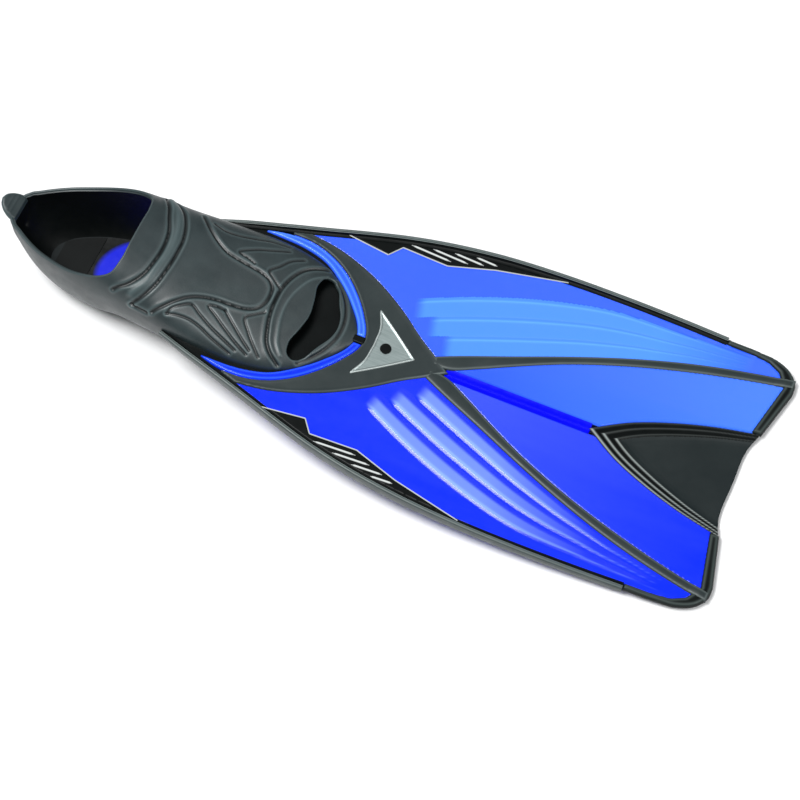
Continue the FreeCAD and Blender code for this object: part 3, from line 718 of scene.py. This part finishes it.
def pocket_point(x, a):
    """Points of the pocket's outside at stations x and angles a; the section is a superellipse."""
    half, low, middle, high, below = pocket_section(x)
    up = np.sin(a) >= 0
    power = np.where(up, TOP_POWER, below)
    reach = np.where(up, high - middle, middle - low)
    y = np.sign(np.cos(a)) * half * np.abs(np.cos(a)) ** (2 / power)
    z = middle + np.sign(np.sin(a)) * reach * np.abs(np.sin(a)) ** (2 / power)
    return np.column_stack([x, y, z])


def pocket_top(x, y):
    """Height of the pocket's upper surface over a plan point."""
    half, _, middle, high, _ = pocket_section(x)
    share = np.clip(np.abs(y) / half, 0, 1)
    return middle + (high - middle) * (1 - share**TOP_POWER) ** (1 / TOP_POWER)


def on_pocket(line, spacing=1.0):
    """A plan line laid on the pocket's upper surface."""
    plan = smooth(line, spacing=spacing)
    return np.column_stack([plan, pocket_top(plan[:, 0], plan[:, 1])])


def gap_to(points, line):
    """Distance from each point to a line laid on the pocket, or 99 for a point far from it."""
    laid = on_pocket(line, 1.2)
    reach = 8.0
    near = np.all((points > laid.min(0) - reach) & (points < laid.max(0) + reach), axis=1)
    distance = np.full(len(points), 99.0)
    distance[near] = nearest(points[near], laid)
    return distance


def pocket_relief(co):
    """Height added to the pocket, and painted shade and highlight: pressed lines, instep band and toe
    step.
    """
    relief, tone = np.zeros(len(co)), np.zeros(len(co))
    upper = co[:, 2] > -14
    crest = gap_to(co, BAND_CREST)
    relief += CREST_HEIGHT * bell(crest, CREST_HALF)
    # Painted highlight on the band's crest.
    tone += 0.35 * bell(crest, 2.6)
    for line, depth, half in PRESSED_LINES:
        gap = gap_to(co, line)
        relief += 0.35 * bell(gap - 2.6, 1.3) - depth * bell(gap, half)
        # Painted highlight along each side of a pressed line, painted shade in it.
        tone += 0.28 * bell(gap - 2.4, 0.9) - 0.9 * bell(gap, 0.8 * half)
    for line in FANS:
        gap = gap_to(co, line)
        relief -= FAN_DEPTH * bell(gap, 0.9)
        # The same painted highlight and shade for the fan lines.
        tone += 0.20 * bell(gap - 2.0, 0.8) - 0.8 * bell(gap, 0.7)
    step = gap_to(co, TOE_STEP)
    relief += STEP_HEIGHT * bell(step, STEP_HALF)
    # Painted highlight on the toe step.
    tone += 0.35 * bell(step, 1.0)
    return np.where(upper, relief, 0), np.where(upper, tone, 0)


def sole_plane(x):
    return HEEL_REST[1] - SOLE_DROP + SOLE_SLOPE * (x - HEEL_REST[0])


def above_ground(co):
    """Positive above both the sole's plane and the ground that the fin stands on."""
    ground = (co[:, 0] * math.sin(PITCH) - APEX.z / MM) / math.cos(PITCH)
    return co[:, 2] - np.maximum(sole_plane(co[:, 0]) + SOLE_SEAM, ground + GROUND_GAP)


def mouth_depth(co):
    """Positive below the rim of the foot opening, which is drawn in side view."""
    side = co[:, [0, 2]]
    opening = np.vstack([smooth(MOUTH[:-1]), MOUTH[-1:], [(-252, 300), (-420, 300), (-420, 3.0)]])
    return -inside(side, opening)


def window_depth(co):
    """Positive outside the toe window, which is drawn in plan; the underside has none."""
    ring = smooth(WINDOW + [(x, -y) for x, y in WINDOW[-2:0:-1]], closed=True)
    depth = -inside(co[:, :2], ring)
    return np.where(co[:, 2] > -8, depth, 50.0)


def make_pocket():
    first, last = STATIONS[[0, -1], 0]
    xs = np.linspace(first, last, int((last - first) / GRID_X))
    angles = -math.pi / 2 + 2 * math.pi * np.arange(GRID_AROUND) / GRID_AROUND
    x, a = [v.reshape(-1) for v in np.meshgrid(xs, angles, indexing="ij")]
    co = pocket_point(x, a)
    grid = co.reshape(len(xs), GRID_AROUND, 3)
    along_x = np.gradient(grid, axis=0)
    around = np.roll(grid, -1, 1) - np.roll(grid, 1, 1)
    normal = unit(np.cross(around, along_x).reshape(-1, 3))
    outward = co * (0, 1, 1) + (0, 0, 5.0)
    normal *= np.sign((normal * outward).sum(1).mean())
    relief, tone = pocket_relief(co)
    co = co + normal * (relief + SKIN)[:, None]
    faces = turned_over(grid_faces(len(xs), GRID_AROUND))
    rows = np.column_stack([co, normal, tone])
    for depth in (mouth_depth, window_depth, above_ground):
        rows, faces = clip(rows, faces, depth(rows))
    co, normal, tone = rows[:, :3], unit(rows[:, 3:6]), rows[:, 6]
    inner = co - normal * (SHELL_T + SKIN)
    a, b, c = (co[[f[i] for f in faces]] for i in range(3))
    facing = (np.cross(b - a, c - a) * normal[[f[0] for f in faces]]).sum(1).mean()
    if facing < 0:
        faces = [list(reversed(face)) for face in faces]
    rims = [ring for ring in loops(border(faces)) if len(ring) > SHORTEST_RIM]
    shell = closed_shell(faces, len(co))
    parts = [(np.vstack([co, inner]), shell)]
    painted_shadings = [tone, np.zeros(len(inner))]
    for ring in rims:
        line = co[ring] - normal[ring] * RIM_BEAD
        if line[:, 2].mean() < SOLE_EDGE_Z:
            continue
        bead = tube(relax(line), RIM_BEAD, 12, closed=True)
        parts.append(bead)
        # Painted highlight along the bead round the opening and the window.
        painted_shadings.append(np.full(len(bead[0]), 0.18))
    co_all, faces_all = join(*parts)
    skin = len(faces)
    pick = np.zeros(len(faces_all), int)
    pick[skin:2 * skin] = 1
    piece = make("foot_pocket_skin", co_all, faces_all, [MAT["pocket"], MAT["lining_painted_shade"]], "pocket_rubber",
                 np.clip(np.concatenate(painted_shadings), -1, 1), pick, sharp=55)
    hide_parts("collar", "vamp", "toe_cap", "heel_cup", "instep_band", "window_rim")
    fold_point(-FOLD_BEFORE)
    fold_point(FOLD_AFTER)
    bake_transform(piece)
    return piece


def relax(line, rounds=6):
    """Evens out a closed line of points."""
    for _ in range(rounds):
        line = (np.roll(line, 1, 0) + 2 * line + np.roll(line, -1, 0)) / 4
    return line


def fold_point(distance):
    """A point at this distance behind the line that the heel folds along, in the row frame."""
    run, rise = HEEL_CUT_RIM[0] - HEEL_AXIS[0], HEEL_CUT_RIM[1] - HEEL_AXIS[1]
    length = math.hypot(run, rise)
    x, z = HEEL_AXIS[0] - rise / length * distance, HEEL_AXIS[1] + run / length * distance
    return to_row([x, 0, z])[0]


def make_pull_tab():
    """The tongue on the heel: thick at its rounded root, thinner and narrower at its end."""
    half, end, corner = TAB_WIDTH / 2, TAB_END_WIDTH / 2, 6.0
    left = [(-TAB_KNUCKLE_R, half - 1.2), (0, half), (TAB_REACH - corner, half - (half - end) * 0.6),
            (TAB_REACH - 1.5, end * 0.62), (TAB_REACH, 0)]
    ring = both_sides(smooth(left, spacing=0.8))

    def top(plan, depth):
        thick = np.interp(plan[:, 0], [-TAB_KNUCKLE_R, 0, TAB_REACH], [0.9, TAB_KNUCKLE_R, 1.9])
        ridges = 0.3 * sum(bell(plan[:, 0] - x, 0.8) for x in TAB_RIDGES)
        return np.maximum(thick - rounded(depth, 2.4) * thick / 2.6, 0.05) + ridges * (depth > 2)

    box = (-3, 16, -12, 12)
    co, faces, _, depth = slab(lambda p: inside(p, ring), box, top, lambda p, d: -top(p, d), 0.6)
    tilt = math.radians(TAB_TILT)
    x, y, z = co.T
    turned = np.column_stack([TAB_AXIS[0] - x * math.cos(tilt) + z * math.sin(tilt), -y,
                              TAB_AXIS[1] + x * math.sin(tilt) + z * math.cos(tilt)])
    # Lighter the nearer the edge: painted highlight on the tab's rounded rim.
    piece = make("heel_pull_tab", turned, faces, [MAT["pocket"]], "pocket_rubber",
                 np.tile(np.clip(0.35 - depth * 0.2, 0.0, 0.35), 2), sharp=60)
    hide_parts("pull_tab")
    outwards = np.array([-math.cos(tilt), 0.0, math.sin(tilt)])
    root = np.array([TAB_AXIS[0], 0.0, TAB_AXIS[1]])
    start, end = (to_row(root + distance * outwards)[0] for distance in TAB_BEND)
    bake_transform(piece)


# -------- rails
def rail_section(h):
    """One section of a rail as (inward, up) points, from the outer foot over the bead to the flange."""
    w, f = RAIL_WALL, RAIL_FLANGE_T / 2
    top = [(0.0, h - 1.2), (0.2, h - 0.5), (0.7, h - 0.12), (1.3, h), (1.9, h - 0.05), (2.3, h - 0.3),
           (2.5, h - 0.75), (2.62, h - 0.55), (2.85, h - 0.6), (w + 0.1, h - 1.0)]
    step = f + 0.35 * (h - f)
    inner = [(w + 0.15, step + 0.5), (w + 0.7, step - 0.1), (w + 0.9, f + 0.25), (w + 1.3, f)]
    flange = [(RAIL_W + RAIL_GAP + 0.1, f - 0.05), (RAIL_W + RAIL_GAP + 0.3, f - 0.5)]
    upper = top + inner + flange
    lower = [(n, -z) for n, z in reversed(upper)]
    return np.array(upper + lower)


def make_rail(side, mirror):
    outer = smooth(RAIL_OUTER, spacing=3.0)
    heading = unit(np.gradient(outer, axis=0))
    inward = np.column_stack([heading[:, 1], -heading[:, 0]])
    rings = []
    for (x, y), (ix, iy) in zip(outer, inward):
        h = float(along(RAIL_HALF_HEIGHT, x))
        section = rail_section(max(h, RAIL_FLANGE_T / 2 + 0.3))
        rings.append(np.column_stack([x + ix * section[:, 0], y + iy * section[:, 0], section[:, 1]]))
    size = len(rings[0])
    co = np.vstack(rings)
    faces = turned_over(grid_faces(len(rings), size))
    faces += [list(range(size))[::-1], list(range(len(co) - size, len(co)))]
    on_bead = [k < 9 or k >= size - 10 for k in range(size)]
    pick = [0 if bead else 1 for bead in on_bead] * (len(rings) - 1) + [0, 0]
    # Painted highlight: full on the small ridge at the bead's inner top edge, faint on its crown.
    lit = np.zeros(size)
    lit[[7, 8]] = 1.0
    lit[[2, 3, 4]] = 0.25
    tone = np.tile(lit, len(rings))
    piece = make(f"side_rail_{side}", co, faces, [MAT["bead"], MAT["rail"]], "rail_rubber", tone, pick,
                 sharp=38, mirror=mirror)
    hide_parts(f"rail_{side}", f"rail_root_{side}")
    bend(piece)


# -------- flat pieces of the blade
def channel_middle(x):
    return (along(CHANNEL_OUTER, x) + along(CHANNEL_INNER, x)) / 2


def outer_area(p):
    depth = inside(p, FIELD)
    for ring in (YOKE, CHANNEL, INSERT, RING_FILLED):
        depth = np.minimum(depth, -inside(p, ring))
    depth += UNDERLAP
    return np.minimum(depth, np.where(p[:, 0] > -14, p[:, 1] - channel_middle(p[:, 0]), 99))


def flutes(plan):
    """The three flutes beside the flex channel: their height, and how far a point is on a ridge,
    on a facet and on any flute at all."""
    x, y = plan[:, 0], plan[:, 1]
    inner = np.where(x > 0, along(CHANNEL_OUTER, x), 15.6 + 0.42 * x)
    edge = np.array(FLUTE_EDGE, float)
    outer = hermite(edge[:, 0], edge[:, 1:], x)[:, 0]
    share = (outer - y) / np.maximum(outer - inner, 1.0) * len(FLUTE_START)
    height, ridge, facet, full = (np.zeros(len(x)) for _ in range(4))
    for k, start in enumerate(FLUTE_START):
        v = share - k
        here = (v >= 0) & (v < 1)
        grow = np.clip((x - start - 4 * v) / 9.0, 0, 1)
        grow = grow * grow * (3 - 2 * grow) * np.clip((FLUTE_END - x) / 70.0, 0, 1) ** 0.7
        rise = np.clip(v / FLUTE_RISE, 0, 1)
        saw = np.where(v < FLUTE_RISE, rise * rise * (3 - 2 * rise), (1 - v) / (1 - FLUTE_RISE))
        height += np.where(here, FLUTE_HEIGHT * grow * saw, 0)
        ridge += np.where(here, grow * bell(v - FLUTE_RISE, 0.07), 0)
        middle = np.clip((v - 0.1) / 0.08, 0, 1) * np.clip((0.78 - v) / 0.12, 0, 1)
        facet += np.where(here, grow * middle, 0)
        full += np.where(here, grow, 0)
    return height, ridge, facet * np.clip((150 - x) / 90, 0, 1), full


def make_outer_panels():
    def top(plan, depth):
        return PANEL_T / 2 + flutes(plan)[0] - rounded(depth, 0.8)

    def bottom(plan, depth):
        return -PANEL_T / 2 - 0.4 * flutes(plan)[0] + rounded(depth, 0.8)

    co, faces, plan, _ = slab(outer_area, (-152, 232, 0, 108), top, bottom, 0.9)
    _, ridge, facet, full = flutes(plan)
    # Painted light on the left half: lighter towards the tip and over the flutes, painted highlight on the
    # ridges.
    outwards = np.clip((plan[:, 0] + 40) / 250, 0, 1)
    left = 0.10 * outwards + 0.52 * full + 0.25 * ridge
    # Painted highlight on the right half's ridges and flute facets.
    right = 0.50 * facet + 0.40 * ridge
    painted_shadings = [np.tile(np.clip(shade, 0, 1), 2) for shade in (left, right)]
    make_pair("outer_blade", ("outer_panel", "outer_panel_root"), co, faces,
              (MAT["blue_lit_half"], MAT["blue_shaded_half"]), "blue_blade", painted_shadings)


def centre_area(p):
    depth = np.minimum(inside(p, FIELD), -inside(p, CHANNEL)) + UNDERLAP
    depth = np.minimum(depth, -inside(p, FLAP))
    depth = np.minimum(depth, p[:, 1] - CREASE_HALF)
    return np.minimum(depth, channel_middle(p[:, 0]) - p[:, 1])


def make_centre_panels():
    def top(plan, depth):
        return PANEL_T / 2 + 0.5 * np.clip(plan[:, 1] / 40, 0, 1) - rounded(depth, 1.1)

    def bottom(plan, depth):
        return -PANEL_T / 2 + rounded(depth, 0.8)

    co, faces, plan, _ = slab(centre_area, (0, 233, 0, 92), top, bottom, 0.9)
    outwards = np.clip((plan[:, 0] - 20) / 200, 0, 1)
    # Painted light: the left half lighter towards the tip, the right half lighter towards the apex.
    left, right = 0.30 * outwards, 0.10 * (1 - outwards)
    make_pair("centre_blade", ("centre_panel",), co, faces, (MAT["blue_lit_half"], MAT["blue_shaded_half"]),
              "blue_blade", (np.tile(left, 2), np.tile(right, 2)))


def make_crease():
    half, length = CREASE_HALF + 0.3, FLAP_APEX + 1

    def area(p):
        return np.minimum(half - np.abs(p[:, 1]), np.minimum(p[:, 0] + 1, length - p[:, 0]))

    def top(plan, depth):
        return 0.75 - 0.7 * (1 - (plan[:, 1] / half) ** 2)

    box = (-1, length, -half, half)
    co, faces, _, _ = slab(area, box, top, lambda p, d: np.full(len(p), -0.9), 0.8)
    piece = make("centre_crease", co, faces, [MAT["blue_crease"]], "blue_hinge")
    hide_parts("centre_hinge_web")
    bend(piece)


def make_channels():
    def top(plan, depth):
        lift = np.clip((plan[:, 0] - 224) / 8, 0, 1)
        crown = 0.7 * (1 - np.exp(-depth / 1.6))
        end = lift * (BUMPER_T / 2 - CHANNEL_T / 2 - 0.2)
        return CHANNEL_T / 2 + 0.25 + crown + end - rounded(depth, 0.6)

    def bottom(plan, depth):
        return -CHANNEL_T / 2 + rounded(depth, 1.2)

    co, faces, _, depth = slab(lambda p: inside(p, CHANNEL), (-13, 239, 0, 97), top, bottom, 0.8)
    # Painted highlight along the strip, just in from its edge.
    tone = np.tile(0.5 * bell(depth - 1.0, 0.7), 2)
    make_pair("flex_strip", ("flex_channel",), co, faces, [MAT["yoke"]] * 2, "yoke_rubber", [tone] * 2)


def make_bumpers():
    def top(plan, depth):
        return BUMPER_T / 2 - rounded(depth, 2.4)

    box = (181, 240, 43, 110)
    co, faces, _, depth = slab(lambda p: inside(p, BUMPER), box, top, lambda p, d: -top(p, d), 0.8)
    # Painted highlight along the guard's rounded edge.
    tone = np.tile(0.9 * bell(depth - 1.8, 1.0), 2)
    make_pair("tip_guard", ("tip_bumper",), co, faces, [MAT["rail"]] * 2, "rail_rubber", [tone] * 2,
              sharp=50)


def make_flap():
    edges = [smooth(FLAP_EDGE), flip(smooth(FLAP_EDGE))]

    def in_from_edge(plan):
        """Distance from the flap's sides, as a share of the bevel's width there."""
        gap = np.minimum(nearest(plan, edges[0]), nearest(plan, edges[1]))
        return gap / along(FLAP_BEVEL, plan[:, 0])

    def top(plan, depth):
        return along(FLAP_PROFILE, in_from_edge(plan)) - rounded(depth + 0.4, 0.8)

    def bottom(plan, depth):
        return -BUMPER_T / 2 + 0.6 + rounded(depth, 1.0)

    co, faces, plan, _ = slab(lambda p: inside(p, FLAP), (112, 230, -45, 45), top, bottom, 0.7)
    rim = in_from_edge(plan)
    # Painted highlight lines along the bevel, strong on the right half and faint on the left.
    tone = sum(bell(rim - line, 0.05) for line in FLAP_PAINTED_HIGHLIGHTS)
    tone = tone * np.where(plan[:, 1] < 0, 1.0, 0.12)
    middle = np.array([rim[[i % len(rim) for i in face]].mean() for face in faces])
    pick = np.where(middle < 1.0, 0, 1)
    tone = np.tile(np.clip(tone, 0, 1), 2)
    piece = make("centre_flap_skin", co, faces, [MAT["gloss"], MAT["flap"]], "flap_rubber", tone, pick,
                 sharp=60)
    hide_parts("centre_flap")
    bend(piece)


def make_inserts():
    def area(p):
        return np.minimum(inside(p, FIELD) + 0.3, inside(p, INSERT))

    def top(plan, depth):
        return np.full(len(plan), INSERT_T / 2 - 0.3) - rounded(depth, 0.5)

    body = slab(area, (-116, 56, 74, 108), top, lambda p, d: -top(p, d), 0.8)
    edge = np.array(INSERT_EDGE, float)
    parts = [body[:2]]
    painted_shadings = [np.zeros(len(body[0]))]
    for a, b in zip(edge, edge[1:]):
        line = np.column_stack([np.linspace(a, b, 12), np.full(12, INSERT_T / 2 - 0.35)])
        bar = tube(line, 0.5, 8)
        parts.append(bar)
        # Painted highlight along the insert's edge bar.
        painted_shadings.append(np.full(len(bar[0]), 0.8))
    slope = math.radians(INSERT_RIB_SLOPE)
    for i, length in enumerate(INSERT_RIB_LENGTHS):
        start = np.array(INSERT_RIB_START) + i * np.array(INSERT_RIB_STEP)
        room = np.linspace(0, length, 24)
        line = start + np.column_stack([room * math.cos(slope), room * math.sin(slope)])
        line = line[inside(line, FIELD) > -0.2]
        share = np.linspace(0, 1, len(line))
        bar = tube(np.column_stack([line, np.full(len(line), INSERT_T / 2 - 0.2)]),
                   0.85 * np.clip(np.sin(math.pi * np.clip(share, 0.04, 0.96)) * 3, 0.25, 1), 10)
        parts.append(bar)
        # Painted highlight on the ribs' tops.
        painted_shadings.append(np.clip((bar[0][:, 2] - INSERT_T / 2 + 0.3) / 0.6, 0, 1))
    co, faces = join(*parts)
    tone = np.concatenate(painted_shadings)
    make_pair("notched_insert", ("notch_insert", "insert_tail", "insert_ribs"), co, faces,
              [MAT["insert"]] * 2, "insert_rubber", [tone] * 2)


def make_yoke():
    def area(p):
        return np.minimum(inside(p, FIELD), inside(p, YOKE))

    def top(plan, depth):
        return YOKE_T / 2 + 0.45 - rounded(depth, 1.0) + 0.2 * bell(depth - 1.6, 0.9)

    def bottom(plan, depth):
        return -YOKE_T / 2 + rounded(depth, 1.0)

    co, faces, plan, depth = slab(area, (-153, 2, -72, 72), top, bottom, 0.9)
    near_nose = np.clip((plan[:, 0] + 45) / 40, 0, 1)
    # Painted highlight along the yoke's edge, stronger towards the nose.
    tone = bell(depth - 0.8, 0.6) * (0.25 + 0.6 * near_nose)
    piece = make("yoke_skin", co, faces, [MAT["yoke"]], "yoke_rubber", np.tile(tone, 2))
    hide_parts("yoke")
    bend(piece)


def make_ring():
    def top(plan, depth):
        return RING_T / 2 + 0.4 - rounded(depth, 1.9)

    def area(p):
        return np.minimum(inside(p, RING), p[:, 1] - CLIP[2] + 0.3)

    co, faces, _, depth = slab(area, (-174, -66, 0, 65), top, lambda p, d: -top(p, d), 0.7)
    # Painted highlight along the ring, in from its edge; the left half takes the lit copy, the right half
    # the shaded copy.
    tone = np.tile(0.7 * bell(depth - 1.5, 0.8), 2)
    for side, mirror, material in (("left", False, MAT["ring_lit_half"]), ("right", True, MAT["ring_shaded_half"])):
        piece = make(f"toe_ring_bar_{side}", co, faces, [material], "blue_ring", tone, mirror=mirror,
                     sharp=60)
        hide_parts(f"toe_ring_{side}")
        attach(piece, "foot")

    def clip_area(p):
        return np.minimum(CLIP[2] - np.abs(p[:, 1]), np.minimum(p[:, 0] - CLIP[0], CLIP[1] - p[:, 0]))

    def clip_top(plan, depth):
        return RING_T / 2 + 0.9 - rounded(depth, 1.2)

    box = (CLIP[0], CLIP[1], -CLIP[2], CLIP[2])
    co, faces, _, _ = slab(clip_area, box, clip_top, lambda p, d: -clip_top(p, d), 0.5)
    piece = make("ring_clip", co, faces, [MAT["gloss"]], "insert_rubber", np.zeros(len(co)), sharp=60)
    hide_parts("nose_clip")
    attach(piece, "foot")


def make_web():
    """Black rubber behind and inside the toe ring, between the pocket and the rails."""
    def top(plan, depth):
        return -0.4 + 1.2 * np.clip((-150 - plan[:, 0]) / 20, 0, 1)

    box = (-208, -66, -68, 68)
    co, faces, _, _ = slab(lambda p: inside(p, WEB), box, top, lambda p, d: np.full(len(p), -1.8), 1.0)
    piece = make("ring_web", co, faces, [MAT["gloss"]], "pocket_rubber", np.zeros(len(co)))
    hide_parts("side_web_left", "side_web_right")
    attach(piece, "foot")


def make_badge():
    (cx, cy), (nx, _), (wx, _) = BADGE_CORNER, BADGE_NOSE, BADGE_WAIST
    back = smooth([(cx + 0.4, cy - 1.6), (wx - 1.2, cy / 2), (wx, 0)], spacing=1.0)
    corner = [(cx + 0.2, cy - 0.4), (cx + 1.4, cy - 0.2)]
    middle = ((cx + nx) / 2 + 0.5, cy / 2 + 0.6)
    side = smooth([(cx + 1.4, cy - 0.2), middle, (nx - 1.6, 1.5)], spacing=1.0)
    left = np.vstack([back[::-1], corner, side, [(nx - 0.3, 0.5)]])
    ring = both_sides(left)
    base, rim = YOKE_T / 2, BADGE_T

    def top(plan, depth):
        sunk = 0.6 * np.clip((depth - 1.2) / 0.5, 0, 1)
        return base + rim - rounded(depth, 0.6) - sunk

    box = (-67, -25, -30, 30)
    co, faces, _, depth = slab(lambda p: inside(p, ring), box, top,
                               lambda p, d: np.full(len(p), base), 0.5)
    # Brightest on the rim: painted highlight.
    tone = np.tile(np.clip((1.5 - depth) / 0.4, 0, 1), 2)
    piece = make("badge_skin", co, faces, [MAT["badge"]], "badge_metallic", tone, sharp=35)
    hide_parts("badge_plate")
    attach(piece, "foot")


def dress_cad_nodes():
    """The CAD's own pieces that keep their shape get their finish."""
    finish = {"outsole": "sole", "grip_bars": "sole", "heel_pad": "lining_painted_shade", "footbed": "footbed",
              "badge_inlay": "gloss"}
    for name, material in finish.items():
        mesh = frame["nodes"][name].data
        mesh.materials.clear()
        mesh.materials.append(MAT[material])


# -------- studio
def make_floor():
    size = 6.0
    mesh = bpy.data.meshes.new("floor")
    corners = [(-size, -size, 0), (size, -size, 0), (size, size, 0), (-size, size, 0)]
    mesh.from_pydata(corners, [], [[0, 1, 2, 3]])
    mesh.materials.append(pale_floor("mat_floor"))
    floor = add_object("floor", mesh)
    floor.location.z = -0.0005


def area_light(name, place, target, size, power):
    data = bpy.data.lights.new(name, "AREA")
    data.shape, data.energy = "RECTANGLE", power
    data.size, data.size_y = size
    light = add_object(name, data)
    light.location = place
    light.rotation_euler = (Vector(target) - Vector(place)).to_track_quat("-Z", "Y").to_euler()


def make_light():
    world = bpy.data.worlds.new("studio")
    world.use_nodes = True
    sky = world.node_tree.nodes["Background"].inputs
    sky["Color"].default_value = (0.95, 0.975, 1.0, 1.0)
    sky["Strength"].default_value = 0.26
    bpy.context.scene.world = world
    area_light("key", (-0.7, -0.45, 2.35), (0.0, 0.0, 0.02), (1.3, 0.9), 66)
    area_light("side", (1.7, -0.4, 1.7), (0.1, 0.0, 0.02), (1.0, 1.0), 22)
    area_light("sheen", (-0.06, 0.63, 1.10), (0.04, 0.05, 0.02), (0.9, 0.22), 0.6)
    bpy.context.scene.view_settings.view_transform = "Standard"


def make_camera():
    az, el, roll = (math.radians(v) for v in (CAMERA_AZIMUTH, CAMERA_ELEVATION, CAMERA_ROLL))
    back = Vector((math.sin(az) * math.cos(el), -math.cos(az) * math.cos(el), math.sin(el)))
    level = Vector((math.cos(az), math.sin(az), 0))
    rise = back.cross(level)
    right = math.cos(roll) * level - math.sin(roll) * rise
    up = math.sin(roll) * level + math.cos(roll) * rise
    data = bpy.data.cameras.new("camera")
    data.lens, data.sensor_width = CAMERA_LENS, 36.0
    data.clip_start, data.clip_end = 0.05, 50.0
    camera = add_object("camera", data)
    turn = Matrix((right, up, back)).transposed().to_4x4()
    camera.matrix_world = Matrix.Translation(Vector(CAMERA_TARGET) + back * CAMERA_DISTANCE) @ turn
    bpy.context.scene.camera = camera


make_pocket()
make_pull_tab()
for rail_side, mirrored in (("left", False), ("right", True)):
    make_rail(rail_side, mirrored)
make_outer_panels()
make_centre_panels()
make_crease()
make_channels()
make_bumpers()
make_flap()
make_inserts()
make_yoke()
make_ring()
make_web()
make_badge()
dress_cad_nodes()
make_floor()
make_light()
make_camera()
